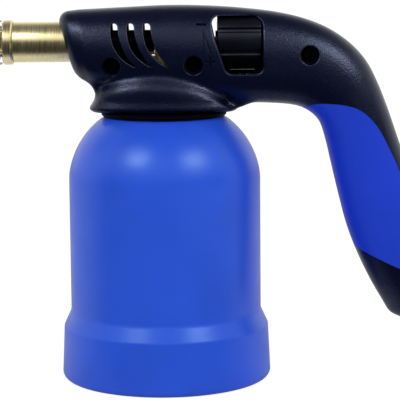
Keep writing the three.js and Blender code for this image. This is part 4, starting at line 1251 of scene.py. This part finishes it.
def pod_ring(head, radius, height_at, sides=144):
    """A ring of the pod that reaches to a radius at its ends, at a height that may follow x."""
    beyond = radius - head.pod_radius
    lip = beyond / (head.lip_radius - head.pod_radius)
    side = head.pod_width + beyond * (head.lip_side * lip ** 3 if 0 < lip <= 1 else 1)
    power = 2 / head.pod_power
    ring = []
    for k in range(sides):
        angle = 2 * math.pi * k / sides
        c, s = math.cos(angle), math.sin(angle)
        along = math.copysign(abs(c) ** power, c)
        across = math.copysign(abs(s) ** power, s)
        ring.append(Vector((radius * along, side * across, height_at(head.pod_radius * along))))
    return ring


def pod_form(head):
    """The pod over the bell's neck: a flat-sided skirt with a lip, under an arched roof."""
    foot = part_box("neck_collar")[1].z + GAP
    top = BELL_HEIGHT + head.arch_rise + head.roof_rise + 1 * MM
    # The last two corners only guide the rounding of the others.
    profile = rounded([
        (head.lip_radius - head.lip_edge, foot, 0.5 * MM),
        (head.lip_radius, foot + head.lip_edge, 0.6 * MM),
        (head.pod_radius, foot + head.pod_flare, head.flare_rounding),
        (head.pod_radius, top),
        (0, top),
        (0, foot),
    ])[:-2]
    skirt = bmesh.new()
    lofted(skirt, [pod_ring(head, point.x, lambda x, z=point.y: z) for point in profile])
    reach = head.lip_radius + 1 * MM
    rings = [
        pod_ring(head, reach, lambda x: foot - 1 * MM),
        pod_ring(head, reach, lambda x: max(arch_height(head, x) - head.ridge_drop, foot)),
        pod_ring(
            head, head.pod_radius + 0.2 * MM, lambda x: max(arch_height(head, x) - head.ridge_drop, foot)
        ),
    ]
    steps = 6
    for step in range(1, steps + 1):
        part = step / steps
        lean = (1 - head.ridge_ease) * part + head.ridge_ease * part ** 2
        rings.append(pod_ring(
            head, head.pod_radius - head.ridge_run * lean,
            lambda x, drop=head.ridge_drop * (1 - part): arch_height(head, x) - drop,
        ))
    rings.append(pod_ring(
        head, head.pod_radius - head.roof_run, lambda x: arch_height(head, x) + head.roof_rise
    ))
    roof = bmesh.new()
    lofted(roof, rings)
    return combined(mesh_object("pod_form", skirt), [roof], "INTERSECT")


def outer_form(head):
    """The moulded outside of the head and handle, with the pod and its fillets blended in."""
    mesh = bmesh.new()
    lofted(mesh, body_rings(head, 0, 0))
    for outline in FILLETS:
        sides = (-FILLET_REACH, FILLET_REACH)
        lofted(mesh, [[Vector((x, y, z)) * MM for x, z in outline] for y in sides])
    pod = pod_form(head)
    mesh.from_mesh(pod.data)
    bpy.data.objects.remove(pod)
    made = mesh_object("outer_form", mesh)
    remesh = made.modifiers.new("Remesh", "REMESH")
    remesh.mode = "VOXEL"
    remesh.voxel_size = head.grain
    settled(made)
    mesh = bmesh.new()
    mesh.from_mesh(made.data)
    low, high = BELL_HEIGHT + head.pod_flare + 3 * MM, AXIS_HEIGHT - 6 * MM
    reach = head.lip_radius + 6 * MM
    ridge = [
        vert for vert in mesh.verts
        if low < vert.co.z < high and math.hypot(vert.co.x, vert.co.y) < reach
    ]
    low, high = BELL_HEIGHT + 4 * MM, AXIS_HEIGHT - 18 * MM
    start, end = head.pod_radius - 2 * MM, head.pod_radius + 18 * MM
    heel = [vert for vert in mesh.verts if low < vert.co.z < high and start < vert.co.x < end]
    for turn in range(head.ridge_passes):
        smoothed(mesh, ridge)
        if turn < head.heel_passes:
            smoothed(mesh, heel)
        if turn < head.skin_passes:
            smoothed(mesh, mesh.verts[:])
    mesh.to_mesh(made.data)
    mesh.free()
    return made


def surface_at(tree, x, z, side):
    """Where the outer form's side lies over a point, on the front (-1) or rear (1)."""
    far = 100 * MM
    hit = tree.ray_cast(Vector((x, side * far, z)), Vector((0, -side, 0)), far)
    return hit[0].y if hit[0] is not None else None


def cutter(tree, outline, side, inner, rounding, depth=None, spacing=0.0006):
    """A closed tool that cuts an outline of X and Z through one side and rounds the edge that it leaves."""
    points = evened(outline, spacing)
    directions = outward(points)
    # How far the outline has grown, and how deep under the skin it lies there. None is the tool's floor.
    stages = [(0.0, None), (0.0, rounding)]
    stages += [
        (rounding * (1 - math.cos(angle)), rounding * (1 - math.sin(angle)))
        for angle in (math.pi / 8, math.pi / 4, 3 * math.pi / 8)
    ]
    wide = rounding + 0.05 * MM
    stages += [(rounding, 0.0), (wide, -0.4 * MM), (wide, -4 * MM)]
    rings = []
    for growth, under in stages:
        ring = []
        for point, out in zip(points, directions):
            place = point + out * growth
            skin = surface_at(tree, place.x, place.y, side)
            # A point beyond the form's outline cuts as if the skin were near the split.
            if skin is None:
                skin = side * 5 * MM
            if under is None:
                level = inner if depth is None else skin - side * depth
            else:
                level = skin - side * under
            ring.append(Vector((place.x, level, place.y)))
        rings.append(ring)
    mesh = bmesh.new()
    lofted(mesh, rings)
    return mesh


def slot_outlines(cut):
    """The curved air slots."""
    outlines = []
    for index in range(cut.slots):
        x = cut.slot_place + index * cut.slot_pitch
        top = AXIS_HEIGHT + cut.slot_rise
        tip = AXIS_HEIGHT - cut.slot_drop
        bend = AXIS_HEIGHT - cut.slot_bend
        half = cut.slot_half
        points = [
            Vector((x + half * math.cos(angle), top + half * math.sin(angle)))
            for angle in (math.pi * step / 10 for step in range(11))
        ]
        points += bezier(points[-1], Vector((x - half, bend)), Vector((x + cut.slot_sweep, tip)), 14)
        end = Vector((x + cut.slot_sweep + cut.slot_tip, tip + cut.slot_tip))
        middle = (points[-1] + end) / 2 + Vector((1, -1)) * cut.slot_tip * 0.2
        points += [middle, end]
        back = Vector((x + half + cut.slot_tip, bend + half))
        points += bezier(end, back, Vector((x + half, top)), 14)[:-1]
        outlines.append(points)
    return outlines


def window_outline(cut):
    """The knob's window, its left side slanting and bent."""
    top, bottom = AXIS_HEIGHT + cut.window_rise, AXIS_HEIGHT - cut.window_drop
    return rounded([
        (cut.window_start, top, cut.window_rounding),
        (cut.window_bend_place, AXIS_HEIGHT + cut.window_bend_rise, cut.window_bend_rounding),
        (cut.window_foot, bottom, cut.window_rounding),
        (cut.window_end, bottom, cut.window_rounding),
        (cut.window_end, top, cut.window_crook_rounding),
    ], 10)


def circle_outline(x, z, radius, steps=40):
    """A round outline."""
    angles = [2 * math.pi * k / steps for k in range(steps)]
    return [Vector((x + radius * math.cos(angle), z + radius * math.sin(angle))) for angle in angles]


def screw_places():
    """Places of the housing screws, as the frame has them."""
    places = {}
    for name in ("nose", "neck", "crook", "heel"):
        low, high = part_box(f"housing_screw_{name}")
        places[name] = ((low.x + high.x) / 2, (low.z + high.z) / 2)
    return places


def mark_outlines():
    """The marks that say which way the knob opens: a minus, a widening wedge and a plus."""
    x, z, arm, reach = PLUS
    plus = [
        (x - arm, z - reach), (x + arm, z - reach), (x + arm, z - arm), (x + reach, z - arm),
        (x + reach, z + arm), (x + arm, z + arm), (x + arm, z + reach), (x - arm, z + reach),
        (x - arm, z + arm), (x - reach, z + arm), (x - reach, z - arm), (x - arm, z - arm),
    ]
    return [[Vector(corner) * MM for corner in shape] for shape in (rounded(MINUS, 3), WEDGE, plus)]


def inner_space(head, cut, inside):
    """The tool that hollows the housing: its inside and the rooms for what it holds, less ribs and posts."""
    axis = (0, 0, AXIS_HEIGHT)
    hollow = bmesh.new()
    lofted(hollow, body_rings(head, head.wall, head.handle_wall, 40, 3))
    made = mesh_object("inner_space", hollow)
    knob_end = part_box("control_knob")[1].x
    collar_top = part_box("neck_collar")[1].z
    flange = inside.flange_place
    rooms = []
    for radius, start, end, direction in (
        (inside.knob_room, inside.knob_room_start, knob_end + GAP, "X"),
        (inside.neck_room, collar_top, flange + 3 * MM, "Z"),
        (inside.flange_room, flange - GAP, flange + inside.flange_thickness + GAP, "Z"),
        (inside.stem_room, flange, AXIS_HEIGHT, "Z"),
        (inside.tube_room, -90 * MM, -inside.tube_room_start, "X"),
    ):
        room = bmesh.new()
        rod(room, radius, start, end, direction, axis if direction == "X" else (0, 0, 0), 64)
        rooms.append(room)
    combined(made, rooms, "UNION")
    spine = bmesh.new()
    brick(
        spine, (inside.spine_start, inside.spine_place, AXIS_HEIGHT - inside.spine_drop),
        (inside.spine_end, inside.spine_place + inside.spine_thickness, AXIS_HEIGHT - inside.spine_top),
    )
    rib = bmesh.new()
    brick(
        rib, (-head.rib_place - head.rib_thickness, -head.width, AXIS_HEIGHT - head.width),
        (-head.rib_place, head.width, AXIS_HEIGHT + head.width),
    )
    hole = bmesh.new()
    rod(hole, inside.tube_room, -head.rib_place - 10 * MM, -head.rib_place + 10 * MM, "X", axis, 64)
    kept = [mesh_object("spine", spine), combined(mesh_object("rib", rib), [hole], "DIFFERENCE")]
    for x, z in screw_places().values():
        post = bmesh.new()
        rod(post, cut.boss_radius, -cut.well_seat, head.width, "Y", (x, 0, z), 24)
        wide = bmesh.new()
        seat = -cut.well_seat + cut.well_wall
        rod(wide, cut.well_radius + cut.well_wall, -head.width, seat, "Y", (x, 0, z), 40)
        kept += [mesh_object("post", post), mesh_object("post", wide)]
    return combined(made, kept, "DIFFERENCE")


def grip_outline(head, growth=0.0):
    """The grip's outline as a smooth line of X and Z, grown or drawn in."""
    corners = [place_of(head, along, down) for along, down in GRIP_SHARES]
    flat = [(corner.x, corner.z) for corner in corners]
    line = [Vector(flat[0])] + [Vector(point) for point in curved(flat[1:-1], 5)] + [Vector(flat[-1])]
    return [point + out * growth for point, out in zip(line, outward(line))]


def prism(outline, reach):
    """A closed block of an outline in X and Z that reaches as far to the front as to the rear."""
    mesh = bmesh.new()
    lofted(mesh, [[Vector((p.x, y, p.y)) for p in outline] for y in (-reach, reach)])
    return mesh


class BLOWLAMP_OT_housing(Operator):
    """Mould the two shells of the head and handle, and the blue grip"""

    bl_idname = "blowlamp.housing"
    bl_label = "Housing and grip"

    def execute(self, context):
        head = context.scene.blowlamp_head
        cut = context.scene.blowlamp_openings
        form = outer_form(head)
        tree = BVHTree.FromObject(form, context.evaluated_depsgraph_get())
        self.make_grip(head, form)
        combined(form, [inner_space(head, cut, context.scene.blowlamp_inside)], "DIFFERENCE")
        tools = []
        overlap = 0.4 * MM
        for side in (-1, 1):
            for outline in slot_outlines(cut):
                tools.append(cutter(tree, outline, side, side * cut.slot_room, cut.slot_edge))
            tools.append(cutter(tree, window_outline(cut), side, -side * overlap, cut.window_edge))
        for x, z in screw_places().values():
            well = circle_outline(x, z, cut.well_radius)
            tools.append(cutter(tree, well, -1, -cut.well_seat - GAP, cut.well_edge))
            hole = bmesh.new()
            rod(hole, cut.screw_hole, -head.width, cut.hole_end, "Y", (x, 0, z), 24)
            tools.append(hole)
        for outline in mark_outlines():
            tools.append(cutter(tree, outline, -1, 0, cut.mark_edge, cut.mark_depth, 0.0004))
        combined(form, tools, "DIFFERENCE")
        combined(form, [self.grip_recess(head)], "DIFFERENCE")
        reach = 400 * MM
        for side, name in ((-1, "front"), (1, "rear")):
            half = duplicate(form, f"moulded_housing_{name}")
            block = bmesh.new()
            low = (-reach, -reach if side < 0 else head.split, 0)
            high = (reach, -head.split if side < 0 else reach, reach)
            brick(block, low, high)
            combined(half, [block], "INTERSECT")
            hand_over(half, "head_body", "housing_black", [f"housing_{name}"], 40)
        bpy.data.objects.remove(form)
        return {"FINISHED"}

    def grip_recess(self, head):
        """The tool that sinks the grip's seat into the handle."""
        recess = mesh_object("recess", prism(grip_outline(head), head.width))
        core = bmesh.new()
        inset = head.grip_thickness + head.grip_gap
        lofted(core, body_rings(head, inset, inset, 48, 5))
        return combined(recess, [core], "DIFFERENCE")

    def make_grip(self, head, form):
        """The blue grip: the handle's skin inside the grip's outline."""
        grip = duplicate(form, "moulded_grip")
        fit = 0.12 * MM
        combined(grip, [prism(grip_outline(head, -fit), head.width)], "INTERSECT")
        core = bmesh.new()
        lofted(core, body_rings(head, head.grip_thickness, head.grip_thickness, 48, 5))
        combined(grip, [core], "DIFFERENCE")
        hand_over(grip, "head_body", "grip_blue", ["grip_insert"], 40)


class BLOWLAMP_OT_screws(Operator):
    """Turn the four housing screws with their cross recesses and threads"""

    bl_idname = "blowlamp.screws"
    bl_label = "Screws"

    def execute(self, context):
        screw = context.scene.blowlamp_screws
        for name, (x, z) in screw_places().items():
            low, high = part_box(f"housing_screw_{name}")
            radius = (high.x - low.x) / 2
            end = high.y - low.y
            profile = rounded([
                (0, 0),
                (radius, 0, 0.9 * MM),
                (radius, screw.head, 0.2 * MM),
                (screw.fillet, screw.head, 0.2 * MM),
                (screw.shank, screw.head + 0.4 * MM),
                (screw.shank, end - screw.point),
                (0.2 * MM, end),
                (0, end),
            ], 5)
            place = Matrix.Translation((x, low.y, z)) @ Matrix.Rotation(-math.pi / 2, 4, "X")
            mesh = bmesh.new()
            spun(mesh, profile, 48, place)
            made = mesh_object(f"turned_screw_{name}", mesh)
            cross = []
            for turn in (0, math.pi / 2):
                blade = bmesh.new()
                reach, half = screw.recess_reach, screw.recess_half
                brick(blade, (-reach, -half, -1 * MM), (reach, half, screw.recess_depth))
                turned = Matrix.Rotation(turn + screw.recess_turn, 4, "Z")
                bmesh.ops.transform(blade, matrix=place @ turned, verts=blade.verts[:])
                cross.append(blade)
            combined(made, cross, "DIFFERENCE")
            mesh = bmesh.new()
            mesh.from_mesh(made.data)
            start, stop = screw.head + 0.8 * MM, end - screw.point - 0.1 * MM
            thread(mesh, screw.shank, start, stop, screw.pitch, screw.thread_depth, 16, place)
            mesh.to_mesh(made.data)
            mesh.free()
            hand_over(made, "head_body", "dark_steel", [f"housing_screw_{name}"])
        return {"FINISHED"}


class BLOWLAMP_OT_inner_finishes(Operator):
    """Give the inner pieces that are kept as packed their materials"""

    bl_idname = "blowlamp.inner_finishes"
    bl_label = "Inner pieces"

    def execute(self, context):
        slots = {part["node"]: part["material_slot"] for part in frame["record"]["subparts"]}
        for name, node in frame["nodes"].items():
            if not node.hide_render:
                node.data.materials.clear()
                node.data.materials.append(material_of(slots[name]))
        return {"FINISHED"}


# Stage
def softbox(name, place, power):
    """A rectangular soft lamp."""
    lamp = bpy.data.lights.new(name, "AREA")
    lamp.shape = "RECTANGLE"
    lamp.size, lamp.size_y = LAMP_SIZE
    lamp.energy = power
    made = bpy.data.objects.new(name, lamp)
    made.location = place
    made.rotation_euler = (Vector(LAMP_AIM) - Vector(place)).to_track_quat("-Z", "Y").to_euler()
    bpy.context.scene.collection.objects.link(made)


class BLOWLAMP_OT_stage(Operator):
    """Set up the camera, the lamps, the world and the floor"""

    bl_idname = "blowlamp.stage"
    bl_label = "Stage"

    def execute(self, context):
        scene = context.scene
        stage = scene.blowlamp_stage
        scene.view_settings.view_transform = "Standard"
        self.camera(scene, stage)
        self.floor(stage)
        self.world(scene, stage)
        for lamp in LAMPS:
            softbox(*lamp)
        return {"FINISHED"}

    def camera(self, scene, stage):
        """The camera at the photograph's place."""
        pitch, roll = math.radians(stage.pitch), math.radians(stage.roll)
        forward = Vector((0, math.cos(pitch), -math.sin(pitch)))
        right = Vector((1, 0, 0))
        up = right.cross(forward)
        across = right * math.cos(roll) - up * math.sin(roll)
        above = up * math.cos(roll) + right * math.sin(roll)
        place = Vector((stage.aim_x, 0, stage.aim_z)) - forward * stage.distance
        turn = Matrix((across, above, -forward)).transposed().to_4x4()
        data = bpy.data.cameras.new("camera")
        data.lens = stage.lens
        data.sensor_width = 36
        data.clip_start, data.clip_end = 0.05, 50
        camera = bpy.data.objects.new("camera", data)
        camera.matrix_world = Matrix.Translation(place) @ turn
        scene.collection.objects.link(camera)
        scene.camera = camera

    def floor(self, stage):
        """A plain white floor that keeps the shadow, and mirrors dark in front of the object."""
        mesh = bmesh.new()
        bmesh.ops.create_grid(mesh, x_segments=1, y_segments=1, size=stage.floor / 2)
        bmesh.ops.translate(mesh, verts=mesh.verts[:], vec=(0, 0, -0.2 * MM))
        floor = mesh_object("floor", mesh)
        nodes = Nodes("floor_white")
        nodes.shader.inputs["Roughness"].default_value = 1.0
        nodes.shader.inputs["Specular IOR Level"].default_value = 0.0
        path = nodes.add("ShaderNodeLightPath")
        glow = nodes.add("ShaderNodeEmission")
        glow.inputs["Strength"].default_value = stage.floor_glow
        blend = nodes.add("ShaderNodeMixShader")
        part = nodes.add("ShaderNodeMath")
        part.operation = "MULTIPLY"
        part.inputs[1].default_value = stage.glow_part
        nodes.link(path.outputs["Is Camera Ray"], part.inputs[0])
        places = nodes.add("ShaderNodeSeparateXYZ")
        nodes.link(nodes.place, places.inputs["Vector"])
        near = nodes.add("ShaderNodeMath")
        near.operation = "MAXIMUM"
        behind = nodes.spread(places.outputs["Y"], 0.03, 1.0, start=-0.1, end=-0.01)
        beside = nodes.spread(places.outputs["X"], 0.0, 0.8, start=0.25, end=0.5)
        nodes.link(behind, near.inputs[0])
        nodes.link(beside, near.inputs[1])
        # Sockets 2 and 3 are the mixed numbers: full white, and the dimmer floor that reflections see.
        dull = nodes.add("ShaderNodeMix")
        dull.inputs[2].default_value = 1.0
        nodes.link(path.outputs["Is Glossy Ray"], dull.inputs["Factor"])
        nodes.link(near.outputs["Value"], dull.inputs[3])
        shade = nodes.add("ShaderNodeVectorMath")
        shade.operation = "SCALE"
        shade.inputs[0].default_value = (stage.floor_white,) * 3
        nodes.link(dull.outputs[0], shade.inputs["Scale"])
        nodes.plug(Base_Color=shade.outputs[0])
        nodes.link(part.outputs[0], blend.inputs["Fac"])
        nodes.link(nodes.shader.outputs["BSDF"], blend.inputs[1])
        nodes.link(glow.outputs["Emission"], blend.inputs[2])
        nodes.link(blend.outputs["Shader"], nodes.tree.nodes["Material Output"].inputs["Surface"])
        floor.data.materials.append(nodes.material)

    def world(self, scene, stage):
        """A pale room: a bright screen in front, bright sides and back, dim overhead, white to the camera."""
        world = bpy.data.worlds.new("studio")
        scene.world = world
        world.use_nodes = True
        tree = world.node_tree
        light = tree.nodes["Background"]
        way = tree.nodes.new("ShaderNodeTexCoord")
        parts = tree.nodes.new("ShaderNodeSeparateXYZ")
        turn = tree.nodes.new("ShaderNodeMapRange")
        turn.interpolation_type = "SMOOTHSTEP"
        turn.inputs["From Min"].default_value = 0.1
        turn.inputs["From Max"].default_value = -0.3
        front = self.levels(tree, (
            (0.17, stage.low_light), (0.32, stage.front_light),
            (0.64, stage.front_light), (0.86, stage.overhead_light),
        ))
        back = self.levels(tree, (
            (0.0, stage.side_light), (0.5, stage.side_light), (0.95, stage.overhead_light),
        ))
        room = tree.nodes.new("ShaderNodeMix")
        room.data_type = "RGBA"
        shown = tree.nodes.new("ShaderNodeBackground")
        shown.inputs["Color"].default_value = (1, 1, 1, 1)
        path = tree.nodes.new("ShaderNodeLightPath")
        seen = tree.nodes.new("ShaderNodeMath")
        seen.operation = "MAXIMUM"
        blend = tree.nodes.new("ShaderNodeMixShader")
        for source, target in (
            (way.outputs["Generated"], parts.inputs["Vector"]),
            (parts.outputs["Y"], turn.inputs["Value"]),
            (parts.outputs["Z"], front.inputs["Fac"]),
            (parts.outputs["Z"], back.inputs["Fac"]),
            (turn.outputs["Result"], room.inputs["Factor"]),
            (back.outputs["Color"], room.inputs[6]),
            (front.outputs["Color"], room.inputs[7]),
            (room.outputs[2], light.inputs["Color"]),
            (path.outputs["Is Camera Ray"], seen.inputs[0]),
            (path.outputs["Is Transmission Ray"], seen.inputs[1]),
            (seen.outputs[0], blend.inputs["Fac"]),
            (light.outputs["Background"], blend.inputs[1]),
            (shown.outputs["Background"], blend.inputs[2]),
            (blend.outputs["Shader"], tree.nodes["World Output"].inputs["Surface"]),
        ):
            tree.links.new(source, target)

    def levels(self, tree, stops):
        """A grey ramp through pairs of place and level."""
        node = tree.nodes.new("ShaderNodeValToRGB")
        ramp = node.color_ramp
        while len(ramp.elements) < len(stops):
            ramp.elements.new(0.5)
        for element, (place, level) in zip(ramp.elements, stops):
            element.position = place
            element.color = (level, level, level, 1)
        return node


OPERATORS = (
    BLOWLAMP_OT_stage,
    BLOWLAMP_OT_bell,
    BLOWLAMP_OT_base,
    BLOWLAMP_OT_neck,
    BLOWLAMP_OT_burner,
    BLOWLAMP_OT_knob,
    BLOWLAMP_OT_housing,
    BLOWLAMP_OT_screws,
    BLOWLAMP_OT_inner_finishes,
)


class BLOWLAMP_PT_panel(Panel):
    """Lists the blowlamp's pieces and sizes"""

    bl_label = "Gas Blowlamp"
    bl_space_type = "VIEW_3D"
    bl_region_type = "UI"
    bl_category = "Blowlamp"

    def draw(self, context):
        layout = self.layout
        for operator in OPERATORS:
            layout.operator(operator.bl_idname, text=operator.bl_label)
        for key, group in SETTINGS.items():
            box = layout.box()
            box.label(text=group.__doc__)
            for name in group.__annotations__:
                box.prop(getattr(context.scene, key), name)


CLASSES = (*SETTINGS.values(), *OPERATORS, BLOWLAMP_PT_panel)


def register():
    """Registers the settings, operators and panel."""
    for group in CLASSES:
        bpy.utils.register_class(group)
    for key, group in SETTINGS.items():
        setattr(bpy.types.Scene, key, PointerProperty(type=group))


def unregister():
    """Removes them again."""
    for key in SETTINGS:
        delattr(bpy.types.Scene, key)
    for group in reversed(CLASSES):
        bpy.utils.unregister_class(group)


def main():
    """Registers the add-on and makes every piece in order."""
    register()
    for operator in OPERATORS:
        group, name = operator.bl_idname.split(".")
        getattr(getattr(bpy.ops, group), name)()


if __name__ == "__main__":
    main()
